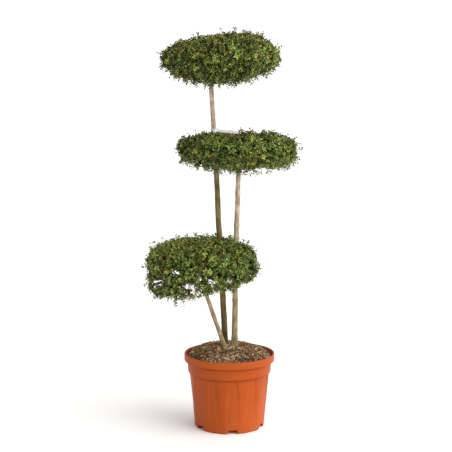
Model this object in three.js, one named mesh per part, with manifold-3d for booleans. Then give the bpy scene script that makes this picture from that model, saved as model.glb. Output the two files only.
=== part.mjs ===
// Potted privet cloud topiary: three stems rise from one ribbed nursery pot, and each ends in a
// clipped cloud of leaves.
// Millimetres, +Z up. The origin is the middle of the pot's flat underside, and the front faces -Y.

import * as THREE from "three";
import { mergeVertices } from "three/addons/utils/BufferGeometryUtils.js";
import Module from "manifold-3d";

const wasm = await Module();
wasm.setup();

const FIT = 0.3; // gap kept between two pieces that meet

// Pot, from its underside up to its rim
const POT_HEIGHT = 276;
const RIM_RADIUS = 170;
const RIM_WIDTH = 6;
const LIP_HEIGHT = 27;
const BAND_HEIGHT = 42;
const BAND_RADIUS = 158;
const BAND_TAPER = 2.5;
const BODY_RADIUS = 147; // just under the band, between the ribs
const BASE_RADIUS = 130;
const WALL = 3;
const FLOOR = 4;
const EDGE_ROUND = 3;
const RIM_ROUND = 2;

// Raised ribs that narrow and fade downwards, spread evenly round the body
const RIBS = 12;
const RIB_RELIEF = 3;
const RIB_TOP_SPAN = 18; // degrees round the pot
const RIB_FOOT_SPAN = 5;
const RIB_EDGE_SPAN = 0.8;
const RIB_FOOT_HEIGHT = 22;
const RIB_TURN = -9.7; // degrees from the front to the middle of the first rib

// Drainage notches in the bottom edge, each under the gap between two ribs
const NOTCHES = 6;
const NOTCH_WIDTH = 42;
const NOTCH_TOP_WIDTH = 31;
const NOTCH_HEIGHT = 15;
const NOTCH_DEPTH = 24;
const NOTCH_SHOULDER = 0.75; // share of its height where its corners start to round
const NOTCH_TURN = RIB_TURN + 180 / RIBS;

// Potting mix: a mound with a level top where the stems stand
const SOIL_TOP = POT_HEIGHT + 16;
const SOIL_LEVEL_RADIUS = 92;
const SOIL_EDGE_DROP = 32; // from the level top down to the rim's inner wall
const SOIL_BACK_HEAP = 22; // how much less it drops at the back
const SOIL_WALL_GAP = 0.6;
const SOIL_COLUMNS = 28;

// Stems: points on the centre line, with the radius at the soil and at the tip
const ROOT_FLARE = 0.35; // extra share of the radius at the soil
const FLARE_HEIGHT = 38;
const STEM_SIDES = 10;
const STEMS = {
  tall_stem: {
    path: [
      [-16, 66, SOIL_TOP], [-23, 65, 440], [-38.5, 60, 730], [-47, 55, 935], [-60, 47, 1150], [-67, 41, 1266],
    ],
    radius: [11.8, 8.8],
    steps: 14,
    color: 0x8f7c5c,
  },
  right_stem: {
    path: [[20, 27, SOIL_TOP], [21, 26, 450], [26.5, 22, 735], [34, 20, 948]],
    radius: [11.6, 8.8],
    steps: 10,
    color: 0x9d8a66,
  },
  leaning_stem: {
    path: [[-17, 19, SOIL_TOP], [-46, 14, 375], [-72, 9, 452], [-97, 5, 522]],
    radius: [9.2, 7.2],
    steps: 6,
    color: 0xac9473,
  },
};

// Clouds: rise and drop are the heights above and below the centre. A higher power is boxier.
// A tilt makes that half thicker towards +X. The insets say how far the solid core lies inside the outline,
// spacing is the least distance between two sprigs, and passing names the stems that run through.
const CLOUDS = {
  top_cloud: {
    bough: "tall_stem", passing: [], centre: [-34, 25, 1361], halfWidth: 226, halfDepth: 210,
    rise: 107, riseTilt: 0.17, risePower: 2.25, drop: 104, dropTilt: -0.05, dropPower: 1.8,
    sideInset: 27, topInset: 16, bottomInset: 18, lumpTurn: 11, seed: 53, spacing: 66, color: 0x51692a,
  },
  middle_cloud: {
    bough: "right_stem", passing: ["tall_stem"], centre: [29, 20, 1031], halfWidth: 229, halfDepth: 212,
    rise: 78, riseTilt: 0, risePower: 2.9, drop: 84, dropTilt: 0.08, dropPower: 2.6,
    sideInset: 28, topInset: 19, bottomInset: 17, lumpTurn: 23, seed: 73, spacing: 66, color: 0x4c6427,
  },
  lower_cloud: {
    bough: "leaning_stem", passing: ["tall_stem", "right_stem"], centre: [-101, 0, 603],
    halfWidth: 222, halfDepth: 208,
    rise: 112, riseTilt: 0, risePower: 3, drop: 121, dropTilt: -0.32, dropPower: 3,
    sideInset: 30, topInset: 17, bottomInset: 54, lumpTurn: 37, seed: 52, spacing: 76, color: 0x465e28,
  },
};
const LUMP = 0.045; // share by which the clipped outline swells and dips
const LUMP_WAVES = 4.2;
const CORE_DETAIL = 3;
const CORE_CLEARANCE = 5; // between a core and a stem that runs through it
const OWN_STEM_REACH = 0.75; // how far a cloud's own stem goes from the bough's tip to its centre, as a share
const OWN_STEM_TAPER = 0.3;

// Sprigs: a three-sided twig rooted in the core, with a whorl of leaves at its tip and pairs lower down
const SPRIG_TRIES = 4000;
const TWIG_ROOT_RADIUS = 3.4;
const TWIG_TIP_RADIUS = 2.8;
const TWIG_SINK = 10;
const TWIG_SPREAD = 0.55; // 0 starts all twigs at the cloud's middle, and 1 starts each level with its tip
const TWIG_SAMPLES = [0, 0.25, 0.5, 0.75, 1]; // places along a twig that are kept clear of the stems
const WHORL = 3; // leaves at a twig's tip
const WHORL_STEP = 5; // on a bare twig each is rooted this much lower than the last
const WHORL_DEPTH = 5; // how deep under the core's skin the whorl is rooted, where there is no bare twig
const WHORL_STAND = 38; // the most that the whorl stands back from the outline
const WHORL_LEAN = 24; // the least that its leaves lean out, in degrees
const PAIR_SPACING = 46;
const PAIR_LEAN = 48; // the least that paired leaves lean off their twig, in degrees
const LEAN_MAX = 84;
const LEAF_LENGTH = 44;
const LEAF_WIDTH = 27;
const LEAF_THICKNESS = 2.6; // at the knee near its root, thinning to nothing at its edges and point
const LEAF_KNEE = 0.22; // share of the length
const LEAF_BELLY = 0.48; // where it is widest
const LEAF_FOLD = 0.13; // how far the edges lift above the midrib, as a share of the width
const LEAF_SINK = 1.2; // how far a leaf's root goes past the middle of its twig
const LEAF_ROOM = 9; // clear distance between the midribs of two leaves
const MIDRIB_SAMPLES = [0.35, 0.65, 0.95];
const OUTLINE_SLACK = 1.001; // how far past the outline a leaf's corner may come, as a share
const LIMB_CLEARANCE = 3;

// Plain plant tag looped round the tall stem, its tail lying on the middle cloud
const TAG_HEIGHT = 1104;
const TAG_LOOP_WIDTH = 13;
const TAG_LOOP_SLACK = 1.2;
const TAG_LENGTH = 84;
const TAG_WIDTH = 22;
const TAG_THICKNESS = 1;
const TAG_TURN = -14; // degrees from +X, towards the front
const TAG_SLOPE = 4; // degrees down from level
const TAG_ROLL = 26; // degrees that its face leans to the front
const TAG_LOOP_SIDES = 12;

const radians = THREE.MathUtils.degToRad;
const lerp = THREE.MathUtils.lerp;
const SMALLEST_EDGE = 0.02; // shorter edges that fusing leaves behind are closed up

// Repeatable random numbers from 0 to 1.
function seeded(seed) {
  let state = seed;
  return () => {
    state = (state + 0x6d2b79f5) | 0;
    let mixed = Math.imul(state ^ (state >>> 15), 1 | state);
    mixed = (mixed + Math.imul(mixed ^ (mixed >>> 7), 61 | mixed)) ^ mixed;
    return ((mixed ^ (mixed >>> 14)) >>> 0) / 4294967296;
  };
}

// A closed geometry as a solid that can be joined and cut.
function solidOf(geometry) {
  const bare = geometry.clone();
  bare.deleteAttribute("normal");
  bare.deleteAttribute("uv");
  const merged = mergeVertices(bare, 1e-4);
  const corners = merged.index.array;
  const triangles = [];
  for (let i = 0; i < corners.length; i += 3) {
    const [a, b, c] = corners.slice(i, i + 3);
    if (a !== b && b !== c && c !== a) triangles.push(a, b, c);
  }
  return new wasm.Manifold(
    new wasm.Mesh({
      numProp: 3,
      vertProperties: merged.getAttribute("position").array,
      triVerts: new Uint32Array(triangles),
    }),
  );
}

// A solid's outer skin as a geometry. Loose scraps and sealed hollows are left behind.
function geometryOf(solid) {
  const bodies = solid.simplify(SMALLEST_EDGE).decompose();
  const main = bodies.reduce((largest, body) => (body.volume() > largest.volume() ? body : largest));
  const mesh = main.getMesh();
  const geometry = new THREE.BufferGeometry();
  geometry.setAttribute("position", new THREE.BufferAttribute(new Float32Array(mesh.vertProperties), 3));
  geometry.setIndex(new THREE.BufferAttribute(new Uint32Array(mesh.triVerts), 1));
  return geometry;
}

function named(name, solid, material) {
  const geometry = geometryOf(solid).toNonIndexed();
  geometry.computeVertexNormals();
  const mesh = new THREE.Mesh(geometry, material);
  mesh.name = name;
  return mesh;
}

// Revolves a profile of [radius, height] pairs round Z, from the front towards +X.
// vary(column, row) may give one vertex its own turn in radians, a wider radius or a lift.
function revolve(profile, columns, vary = () => ({})) {
  const geometry = new THREE.LatheGeometry(profile.map(([r, z]) => new THREE.Vector2(r, z)), columns);
  const position = geometry.getAttribute("position");
  for (let column = 0; column <= columns; column++) {
    profile.forEach(([radius, height], row) => {
      const even = ((column % columns) * 2 * Math.PI) / columns;
      const { turn = even, widen = 0, lift = 0 } = vary(column % columns, row);
      const r = radius + widen;
      position.setXYZ(column * profile.length + row, r * Math.sin(turn), -r * Math.cos(turn), height + lift);
    });
  }
  return geometry;
}

// Pot

const BAND_FOOT = POT_HEIGHT - LIP_HEIGHT - BAND_HEIGHT;
const BODY_TOP = BAND_FOOT - EDGE_ROUND;
const LIP_FOOT = POT_HEIGHT - LIP_HEIGHT;

// Radius of the body between the ribs, at a height.
function bodyRadius(height) {
  return lerp(BASE_RADIUS, BODY_RADIUS, height / BODY_TOP);
}

// One drainage notch, or with grow the pocket that closes it off inside the pot.
function notch(number, grow = 0) {
  const half = NOTCH_WIDTH / 2 + grow;
  const topHalf = NOTCH_TOP_WIDTH / 2 + grow;
  const height = NOTCH_HEIGHT + grow;
  const below = grow ? FLOOR / 2 : -EDGE_ROUND;
  const outline = new THREE.Shape();
  outline.moveTo(-half, below);
  outline.lineTo(half, below);
  outline.lineTo(lerp(half, topHalf, NOTCH_SHOULDER), height * NOTCH_SHOULDER);
  outline.lineTo(topHalf - EDGE_ROUND, height);
  outline.lineTo(-topHalf + EDGE_ROUND, height);
  outline.lineTo(-lerp(half, topHalf, NOTCH_SHOULDER), height * NOTCH_SHOULDER);
  const depth = NOTCH_DEPTH + grow + 2 * EDGE_ROUND;
  const prism = new THREE.ExtrudeGeometry(outline, { depth, bevelEnabled: false, steps: 1 });
  prism.rotateX(Math.PI / 2);
  prism.translate(0, -(BASE_RADIUS - NOTCH_DEPTH - grow), 0);
  prism.rotateZ(radians(NOTCH_TURN + (number * 360) / NOTCHES));
  return solidOf(prism);
}

const notchNumbers = Array.from({ length: NOTCHES }, (_, number) => number);

const outerProfile = [
  [0, 0],
  [BASE_RADIUS - EDGE_ROUND, 0],
  [bodyRadius(EDGE_ROUND), EDGE_ROUND],
  [bodyRadius(RIB_FOOT_HEIGHT), RIB_FOOT_HEIGHT],
  [BODY_RADIUS, BODY_TOP],
  [BAND_RADIUS - BAND_TAPER, BAND_FOOT],
  [BAND_RADIUS, LIP_FOOT],
  [RIM_RADIUS - RIM_ROUND, LIP_FOOT],
  [RIM_RADIUS, LIP_FOOT + RIM_ROUND],
  [RIM_RADIUS, POT_HEIGHT - RIM_ROUND],
  [RIM_RADIUS - RIM_ROUND, POT_HEIGHT],
];
const innerProfile = [
  [RIM_RADIUS - RIM_WIDTH, POT_HEIGHT],
  [BAND_RADIUS - WALL, LIP_FOOT - WALL],
  [BAND_RADIUS - BAND_TAPER - WALL, BAND_FOOT],
  [BODY_RADIUS - WALL, BODY_TOP - WALL],
  [bodyRadius(FLOOR) - WALL, FLOOR],
  [0, FLOOR],
];
const RIB_FOOT_ROW = 3;
const RIB_TOP_ROW = 4;
const RIB_COLUMNS = 5;

// Places the wall's vertices along the ribs' edges: foot, crest, crest, foot, and the middle of the gap.
function ribbed(column, row) {
  if (row !== RIB_FOOT_ROW && row !== RIB_TOP_ROW) {
    const even = 360 / RIBS / RIB_COLUMNS;
    return { turn: radians(RIB_TURN + (column - 1.5) * even) };
  }
  const atTop = row === RIB_TOP_ROW;
  const half = (atTop ? RIB_TOP_SPAN : RIB_FOOT_SPAN) / 2;
  const offsets = [-half - RIB_EDGE_SPAN, -half, half, half + RIB_EDGE_SPAN, 180 / RIBS];
  const place = column % RIB_COLUMNS;
  const onCrest = place === 1 || place === 2;
  const middle = RIB_TURN + (Math.floor(column / RIB_COLUMNS) * 360) / RIBS;
  return { turn: radians(middle + offsets[place]), widen: onCrest && atTop ? RIB_RELIEF : 0 };
}

function potSolid() {
  const columns = RIBS * RIB_COLUMNS;
  const shell = solidOf(revolve([...outerProfile, ...innerProfile], columns, ribbed));
  const midWall = (height) => bodyRadius(height) - WALL / 2;
  const plugTop = RIB_FOOT_HEIGHT;
  const plugProfile = [[0, 0], [midWall(0), 0], [midWall(plugTop), plugTop], [0, plugTop]];
  const plug = solidOf(revolve(plugProfile, columns));
  const pockets = notchNumbers.map((number) => notch(number, WALL).intersect(plug));
  const notches = notchNumbers.map((number) => notch(number));
  return wasm.Manifold.union([shell, ...pockets]).subtract(wasm.Manifold.union(notches));
}

// Potting mix

// Inner radius of the pot's rim at a height.
function rimInside(height) {
  const foot = LIP_FOOT - WALL;
  return lerp(BAND_RADIUS - WALL, RIM_RADIUS - RIM_WIDTH, (height - foot) / (POT_HEIGHT - foot));
}

// The mound sinks from its level top to the wall, and less so at the back.
function soilSolid() {
  const edge = SOIL_TOP - SOIL_EDGE_DROP;
  const inside = (radius) => radius - WALL - SOIL_WALL_GAP;
  const profile = [
    [0, FLOOR + FIT],
    [inside(bodyRadius(FLOOR)), FLOOR + FIT],
    [inside(BODY_RADIUS), BODY_TOP - WALL],
    [inside(BAND_RADIUS - BAND_TAPER), BAND_FOOT + EDGE_ROUND],
    [inside(BAND_RADIUS), LIP_FOOT - WALL],
    [rimInside(edge) - SOIL_WALL_GAP, edge],
    [lerp(SOIL_LEVEL_RADIUS, BAND_RADIUS, 0.5), SOIL_TOP - SOIL_EDGE_DROP / 3],
    [SOIL_LEVEL_RADIUS, SOIL_TOP],
    [0, SOIL_TOP],
  ];
  const edgeRow = 5;
  const heap = { [edgeRow]: 1, [edgeRow + 1]: 0.4 };
  const mound = revolve(profile, SOIL_COLUMNS, (column, row) => {
    const turn = (column * 2 * Math.PI) / SOIL_COLUMNS;
    return { lift: (heap[row] ?? 0) * SOIL_BACK_HEAP * Math.max(0, -Math.cos(turn)) };
  });
  const pockets = notchNumbers.map((number) => notch(number, WALL + FIT));
  return solidOf(mound).subtract(wasm.Manifold.union(pockets));
}

// Stems

for (const stem of Object.values(STEMS)) {
  stem.curve = new THREE.CatmullRomCurve3(stem.path.map((p) => new THREE.Vector3(...p)));
}

// Radius at a share of the way up, with the flare where the stem leaves the soil.
function stemRadius(stem, share) {
  const rise = stem.curve.getPoint(share).z - SOIL_TOP;
  const flare = ROOT_FLARE * Math.exp((-3 * rise) / FLARE_HEIGHT);
  return lerp(stem.radius[0], stem.radius[1], share) * (1 + flare);
}

// Where a stem's centre line is at a height, and how thick it is there. Above its tip there is nothing.
function stemAt(stem, height) {
  let low = 0;
  let high = 1;
  for (let halving = 0; halving < 24; halving++) {
    const middle = (low + high) / 2;
    if (stem.curve.getPoint(middle).z < height) low = middle;
    else high = middle;
  }
  return { point: stem.curve.getPoint(low), radius: stemRadius(stem, low) };
}

// A tapering limb with level rings, so both its ends are flat cuts.
function limb(pointAt, radiusAt, sides, steps) {
  const tube = new THREE.CylinderGeometry(1, 1, 1, sides, steps);
  tube.rotateX(Math.PI / 2);
  const position = tube.getAttribute("position");
  for (let i = 0; i < position.count; i++) {
    const share = position.getZ(i) + 0.5;
    const middle = pointAt(share);
    const radius = radiusAt(share);
    position.setXYZ(i, middle.x + radius * position.getX(i), middle.y + radius * position.getY(i), middle.z);
  }
  return solidOf(tube);
}

// A stem's solid, standing on the soil. grow makes it thicker all round, to cut room for it.
function stemSolid(stem, grow = 0) {
  const lift = new THREE.Vector3(0, 0, FIT);
  return limb(
    (share) => stem.curve.getPoint(share).addScaledVector(lift, 1 - share),
    (share) => stemRadius(stem, share) + grow,
    STEM_SIDES,
    stem.steps,
  );
}

// True where a point is clear of every stem.
function clearOfStems(point) {
  return Object.values(STEMS).every((stem) => {
    if (point.z > stem.curve.getPoint(1).z + LIMB_CLEARANCE) return true;
    const { point: middle, radius } = stemAt(stem, point.z);
    return Math.hypot(point.x - middle.x, point.y - middle.y) > radius + LIMB_CLEARANCE;
  });
}

// Clouds

// How far a cloud's outline is from its centre in a direction. The insets shrink it to its core.
function reach(cloud, direction, inset = false) {
  const side = inset ? cloud.sideInset : 0;
  const up = direction.z > 0;
  const cut = inset ? (up ? cloud.topInset : cloud.bottomInset) : 0;
  const tilt = 1 + (up ? cloud.riseTilt : cloud.dropTilt) * direction.x;
  const height = ((up ? cloud.rise : cloud.drop) - cut) * tilt;
  const power = up ? cloud.risePower : cloud.dropPower;
  const across = Math.hypot(direction.x / (cloud.halfWidth - side), direction.y / (cloud.halfDepth - side));
  const along = Math.abs(direction.z) / height;
  const waves = [direction.x, direction.y, direction.z].map((part, axis) => {
    return Math.sin(LUMP_WAVES * part + cloud.lumpTurn * (axis + 1));
  });
  const lump = (LUMP * (waves[0] + waves[1] + waves[2])) / 3;
  return (1 + lump) / (across ** power + along ** power) ** (1 / power);
}

// Below 1 inside a cloud's outline, or inside its core.
function level(cloud, point, inset = false) {
  const offset = point.clone().sub(cloud.middle);
  return offset.length() / reach(cloud, offset.clone().normalize(), inset);
}

// The way out of a cloud at a point, square to its outline.
function outward(cloud, point) {
  const step = 2;
  const slope = ["x", "y", "z"].map((axis) => {
    const ahead = point.clone();
    const behind = point.clone();
    ahead[axis] += step;
    behind[axis] -= step;
    return level(cloud, ahead) - level(cloud, behind);
  });
  return new THREE.Vector3(...slope).normalize();
}

// The solid middle of a clipped cloud, cut clear of the stems that run through it.
function coreSolid(cloud) {
  const ball = new THREE.IcosahedronGeometry(1, CORE_DETAIL);
  const position = ball.getAttribute("position");
  const point = new THREE.Vector3();
  for (let i = 0; i < position.count; i++) {
    point.fromBufferAttribute(position, i);
    point.multiply(new THREE.Vector3(cloud.halfWidth, cloud.halfDepth, (cloud.rise + cloud.drop) / 2));
    point.normalize();
    point.multiplyScalar(reach(cloud, point, true)).add(cloud.middle);
    position.setXYZ(i, point.x, point.y, point.z);
  }
  const rooms = cloud.passing.map((name) => stemSolid(STEMS[name], CORE_CLEARANCE));
  return rooms.reduce((core, room) => core.subtract(room), solidOf(ball));
}

// The cloud's own stem, which carries on from the bough's tip into the core.
function ownStemSolid(cloud) {
  const bough = STEMS[cloud.bough];
  const tip = bough.curve.getPoint(1).add(new THREE.Vector3(0, 0, FIT));
  const radius = stemRadius(bough, 1);
  return limb(
    (share) => tip.clone().lerp(cloud.middle, share * OWN_STEM_REACH),
    (share) => radius * (1 - OWN_STEM_TAPER * share),
    STEM_SIDES,
    1,
  );
}

// Points spread evenly over a cloud's outline, no two closer than the spacing.
function sprigTips(cloud, random) {
  const tips = [];
  for (let attempt = 0; attempt < SPRIG_TRIES; attempt++) {
    const height = 2 * random() - 1;
    const turn = 2 * Math.PI * random();
    const flat = Math.sqrt(1 - height * height);
    const direction = new THREE.Vector3(flat * Math.cos(turn), flat * Math.sin(turn), height);
    direction.multiply(new THREE.Vector3(cloud.halfWidth, cloud.halfDepth, cloud.rise)).normalize();
    const tip = direction.clone().multiplyScalar(reach(cloud, direction)).add(cloud.middle);
    if (tips.every((other) => other.distanceTo(tip) > cloud.spacing)) tips.push(tip);
  }
  return tips;
}

// A twig between two points.
function twigSolid(root, tip) {
  const along = tip.clone().sub(root);
  const twig = new THREE.CylinderGeometry(TWIG_TIP_RADIUS, TWIG_ROOT_RADIUS, along.length(), 3, 1);
  twig.translate(0, along.length() / 2, 0);
  const turn = new THREE.Quaternion().setFromUnitVectors(new THREE.Vector3(0, 1, 0), along.normalize());
  twig.applyQuaternion(turn);
  twig.translate(root.x, root.y, root.z);
  return solidOf(twig);
}

// A leaf of eight faces, folded a little along its midrib, growing from base in a direction.
function leafGeometry(base, direction, face) {
  const leaf = new THREE.OctahedronGeometry(1);
  const position = leaf.getAttribute("position");
  for (let i = 0; i < position.count; i++) {
    const [x, y, z] = [position.getX(i), position.getY(i), position.getZ(i)];
    const along = (1 + x) / 2 + (LEAF_BELLY - 0.5) * Math.abs(y) + (LEAF_KNEE - 0.5) * Math.abs(z);
    const lift = LEAF_FOLD * LEAF_WIDTH * Math.abs(y);
    position.setXYZ(i, along * LEAF_LENGTH, (y * LEAF_WIDTH) / 2, (z * LEAF_THICKNESS) / 2 + lift);
  }
  const side = face.clone().cross(direction).normalize();
  const normal = direction.clone().cross(side).normalize();
  leaf.applyMatrix4(new THREE.Matrix4().makeBasis(direction, side, normal).setPosition(base));
  return leaf;
}

// Whether a leaf stays inside the cloud's outline, clear of the stems and of the tag.
function leafFits(cloud, leaf) {
  const position = leaf.getAttribute("position");
  const corner = new THREE.Vector3();
  for (let i = 0; i < position.count; i++) {
    corner.fromBufferAttribute(position, i);
    if (level(cloud, corner) > OUTLINE_SLACK || !clearOfStems(corner) || nearTag(corner)) return false;
  }
  return true;
}

// The place on the way from a neck to the cloud's heart where a twig is rooted well inside the core.
function twigRoot(cloud, neck) {
  const heart = cloud.middle.clone().lerp(new THREE.Vector3(neck.x, neck.y, cloud.middle.z), TWIG_SPREAD);
  const inwards = heart.sub(neck).normalize();
  const root = neck.clone();
  while (level(cloud, root, true) > 1) root.addScaledVector(inwards, 2);
  return root.addScaledVector(inwards, TWIG_SINK);
}

// How far it is from a point on a cloud's outline straight in to its core.
function coreDepth(cloud, tip, straight) {
  let depth = 0;
  while (level(cloud, tip.clone().addScaledVector(straight, -depth), true) > 1) depth += 1;
  return depth;
}

// The way a leaf grows from its foot: it leans off its twig until its point comes within the outline.
function leafWay(cloud, foot, stalk, across, leastLean) {
  const axis = stalk.clone().cross(across).normalize();
  let low = radians(leastLean);
  let high = radians(LEAN_MAX);
  for (let halving = 0; halving < 20; halving++) {
    const middle = (low + high) / 2;
    const way = stalk.clone().applyAxisAngle(axis, middle);
    if (level(cloud, foot.clone().addScaledVector(way, LEAF_LENGTH)) > 1) low = middle;
    else high = middle;
  }
  return stalk.clone().applyAxisAngle(axis, high);
}

// A twig that brings a whorl of leaves out to a place on the outline, with pairs of leaves down to the core.
// midribs holds points along the leaves that already grow on the cloud, and a leaf too near them is skipped.
function sprigSolids(cloud, tip, random, midribs) {
  const straight = outward(cloud, tip);
  const stand = Math.min(coreDepth(cloud, tip, straight) + WHORL_DEPTH, WHORL_STAND);
  const neck = tip.clone().addScaledVector(straight, -stand);
  const root = twigRoot(cloud, neck);
  if (!TWIG_SAMPLES.every((share) => clearOfStems(root.clone().lerp(neck, share)))) return [];
  const solids = [twigSolid(root, neck)];
  const grow = (foot, stalk, across, leastLean) => {
    const way = leafWay(cloud, foot, stalk, across, leastLean);
    const base = foot.clone().addScaledVector(way, -LEAF_SINK);
    const midrib = MIDRIB_SAMPLES.map((share) => base.clone().addScaledVector(way, share * LEAF_LENGTH));
    const leaf = leafGeometry(base, way, stalk);
    const roomy = midrib.every((spot) => midribs.every((other) => spot.distanceTo(other) > LEAF_ROOM));
    if (!roomy || !leafFits(cloud, leaf)) return;
    midribs.push(...midrib);
    solids.push(solidOf(leaf));
  };
  const side = new THREE.Vector3(random() - 0.5, random() - 0.5, random() - 0.5).cross(straight).normalize();
  const step = stand === WHORL_STAND ? WHORL_STEP : 0;
  for (let leaf = 0; leaf < WHORL; leaf++) {
    const foot = neck.clone().lerp(root, (leaf * step) / neck.distanceTo(root));
    grow(foot, straight, side.clone().applyAxisAngle(straight, (leaf * 2 * Math.PI) / WHORL), WHORL_LEAN);
  }
  const stalk = neck.clone().sub(root);
  const bare = stalk.length() - TWIG_SINK;
  stalk.normalize();
  for (let back = PAIR_SPACING; back < bare; back += PAIR_SPACING) {
    const foot = neck.clone().addScaledVector(stalk, -back);
    grow(foot, stalk, side, PAIR_LEAN);
    grow(foot, stalk, side.clone().negate(), PAIR_LEAN);
  }
  return solids;
}

function cloudSolid(cloud) {
  const random = seeded(cloud.seed);
  const midribs = [];
  const sprigs = sprigTips(cloud, random).flatMap((tip) => sprigSolids(cloud, tip, random, midribs));
  return wasm.Manifold.union([coreSolid(cloud), ownStemSolid(cloud), ...sprigs]);
}

// Plant tag

const tagStem = stemAt(STEMS.tall_stem, TAG_HEIGHT);
const tagTurn = new THREE.Quaternion().setFromEuler(
  new THREE.Euler(radians(TAG_ROLL), radians(TAG_SLOPE), radians(TAG_TURN), "ZYX"),
);

// True where a point is close to the tag's tail.
function nearTag(point) {
  const local = point.clone().sub(tagStem.point).applyQuaternion(tagTurn.clone().invert());
  const along = local.x > -TAG_WIDTH && local.x < TAG_LENGTH + TAG_WIDTH;
  return along && Math.abs(local.y) < TAG_WIDTH && Math.abs(local.z) < TAG_WIDTH / 2;
}

function tagSolid() {
  const { point, radius } = tagStem;
  const inner = radius + TAG_LOOP_SLACK;
  const half = TAG_LOOP_WIDTH / 2;
  const ring = [[inner, -half], [inner + TAG_THICKNESS, -half], [inner + TAG_THICKNESS, half], [inner, half]];
  const loop = revolve([...ring, ring[0]], TAG_LOOP_SIDES);
  loop.translate(point.x, point.y, point.z);
  const tail = new THREE.BoxGeometry(TAG_LENGTH, TAG_WIDTH, TAG_THICKNESS);
  tail.translate(inner + TAG_THICKNESS / 2 + TAG_LENGTH / 2, 0, 0);
  tail.applyQuaternion(tagTurn);
  tail.translate(point.x, point.y, point.z);
  return solidOf(loop).add(solidOf(tail));
}

// Assembly

const finish = (color, roughness) => new THREE.MeshStandardMaterial({ color, roughness, metalness: 0 });

const topiary = new THREE.Group();
topiary.name = "cloud_topiary";
topiary.add(named("pot", potSolid(), finish(0xc1602c, 0.5)));
topiary.add(named("soil", soilSolid(), finish(0x5a4332, 0.95)));
for (const [name, stem] of Object.entries(STEMS)) {
  topiary.add(named(name, stemSolid(stem), finish(stem.color, 0.85)));
}
for (const [name, cloud] of Object.entries(CLOUDS)) {
  cloud.middle = new THREE.Vector3(...cloud.centre);
  topiary.add(named(name, cloudSolid(cloud), finish(cloud.color, 0.6)));
}
topiary.add(named("stem_tag", tagSolid(), finish(0xf1f0ec, 0.5)));

export default topiary;
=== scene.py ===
"""Looks of the potted privet cloud topiary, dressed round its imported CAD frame.

Sizes are in millimetres, as in the part's source, and become metres where Blender takes them.
Z is up from the pot's underside, the front faces -Y, and +X is to the right.
"""

import math

import bpy
import numpy as np
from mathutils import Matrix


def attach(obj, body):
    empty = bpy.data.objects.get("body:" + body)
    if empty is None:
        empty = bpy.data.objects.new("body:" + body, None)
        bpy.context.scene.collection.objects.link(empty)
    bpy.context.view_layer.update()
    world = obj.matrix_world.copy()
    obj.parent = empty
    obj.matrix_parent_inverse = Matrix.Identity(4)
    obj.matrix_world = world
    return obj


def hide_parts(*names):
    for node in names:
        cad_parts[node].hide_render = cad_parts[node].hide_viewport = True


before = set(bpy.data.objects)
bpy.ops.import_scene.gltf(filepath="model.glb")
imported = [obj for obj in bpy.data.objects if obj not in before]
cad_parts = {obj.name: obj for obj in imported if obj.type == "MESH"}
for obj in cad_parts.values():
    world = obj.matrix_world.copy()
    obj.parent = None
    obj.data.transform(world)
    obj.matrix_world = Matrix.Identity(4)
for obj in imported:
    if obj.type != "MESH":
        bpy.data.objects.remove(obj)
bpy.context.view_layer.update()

MM = 0.001  # metres in a millimetre
BODY = "root"
WHITE = (1, 1, 1)

# Camera, at the photograph's viewing angle
CAMERA_PLACE = (-12.4, -3569, 1143)
CAMERA_PITCH = 6.24  # degrees down from level
CAMERA_VIEW = 26.245  # degrees across the frame

# Soft studio light over a plain floor: pale walls all round under a sky, both brighter to the right
WALL_LIGHT = (0.72, 1.38)  # at the left and at the right
SKY_LIGHT = (0.35, 1.65)
WALL_HEIGHTS = (0.22, 0.45)  # sine of the angle above level where the walls end, and where only sky is left
BACKDROP_LIGHT = 1.3  # what the camera itself sees behind the plant, the same all round
KEY_TURN = 62  # degrees from the front towards the right
KEY_HEIGHT = 28  # degrees above level
KEY_SPREAD = 60  # degrees across, which softens the shadows
KEY_STRENGTH = 2.2
KEY_COLOUR = (1.0, 0.97, 0.92)
FLOOR_RADIUS = 60000
FLOOR_CORNERS = 96
FLOOR_COLOUR = (0.93, 0.93, 0.92)

# Pot, from its underside up to its rim
POT_HEIGHT = 276
RIM_RADIUS = 170
RIM_WIDTH = 6
LIP_FOOT = POT_HEIGHT - 27
BAND_FOOT = LIP_FOOT - 42
BAND_RADIUS = 158
BAND_TAPER = 2.5
BODY_TOP = BAND_FOOT - 3
BODY_RADIUS = 147  # just under the band, between the ribs
BASE_RADIUS = 130
WALL = 3
INSIDE_FOOT = 26  # where the wall's inside ends, hidden under the mix
EDGE_ROUND = 3
OUT_OF_ROUND = 0.9  # how far the thin rim strays from a true circle
RIM_WAVES = ((0.6, 2, 0.7), (0.4, 3, 2.1))  # strength, waves round the rim, and where they start
RIM_SHRINK = 0.5  # how far the rim is drawn in all round, in the same measure
CREASE_FOOT = BAND_FOOT - 11  # painted shade: darker colour in the crease under the band, where the band's shadow falls
CREASE_TOP = BAND_FOOT + 3
CREASE_PAINTED_SHADE = (0.76, 0.72, 0.70)
DUST_HEIGHT = 100  # dust in streaks from the foot up to here
DUST_SHARE = 0.35
DUST_COLOUR = (0.36, 0.13, 0.05)
POT_COLOURS = ((0.350, 0.057, 0.005), (0.405, 0.074, 0.008))
POT_GLOSS = 0.15
POT_ROUGHNESS = (0.36, 0.56)

# Raised ribs that narrow and fade downwards
RIBS = 12
RIB_RELIEF = 3
RIB_TOP_SPAN = 18  # degrees round the pot
RIB_FOOT_SPAN = 5
RIB_EDGE_SPAN = 0.9
RIB_FOOT_HEIGHT = 22
RIB_TOP_HEIGHT = BODY_TOP - 2.5  # where the straight wall ends, under a rounded corner
RIB_ROWS = 9
RIB_TURN = -9.7  # degrees from the front to the middle of the first rib
HALF_PITCH = 180 / RIBS  # degrees from a rib's middle to the middle of the next gap

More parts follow.
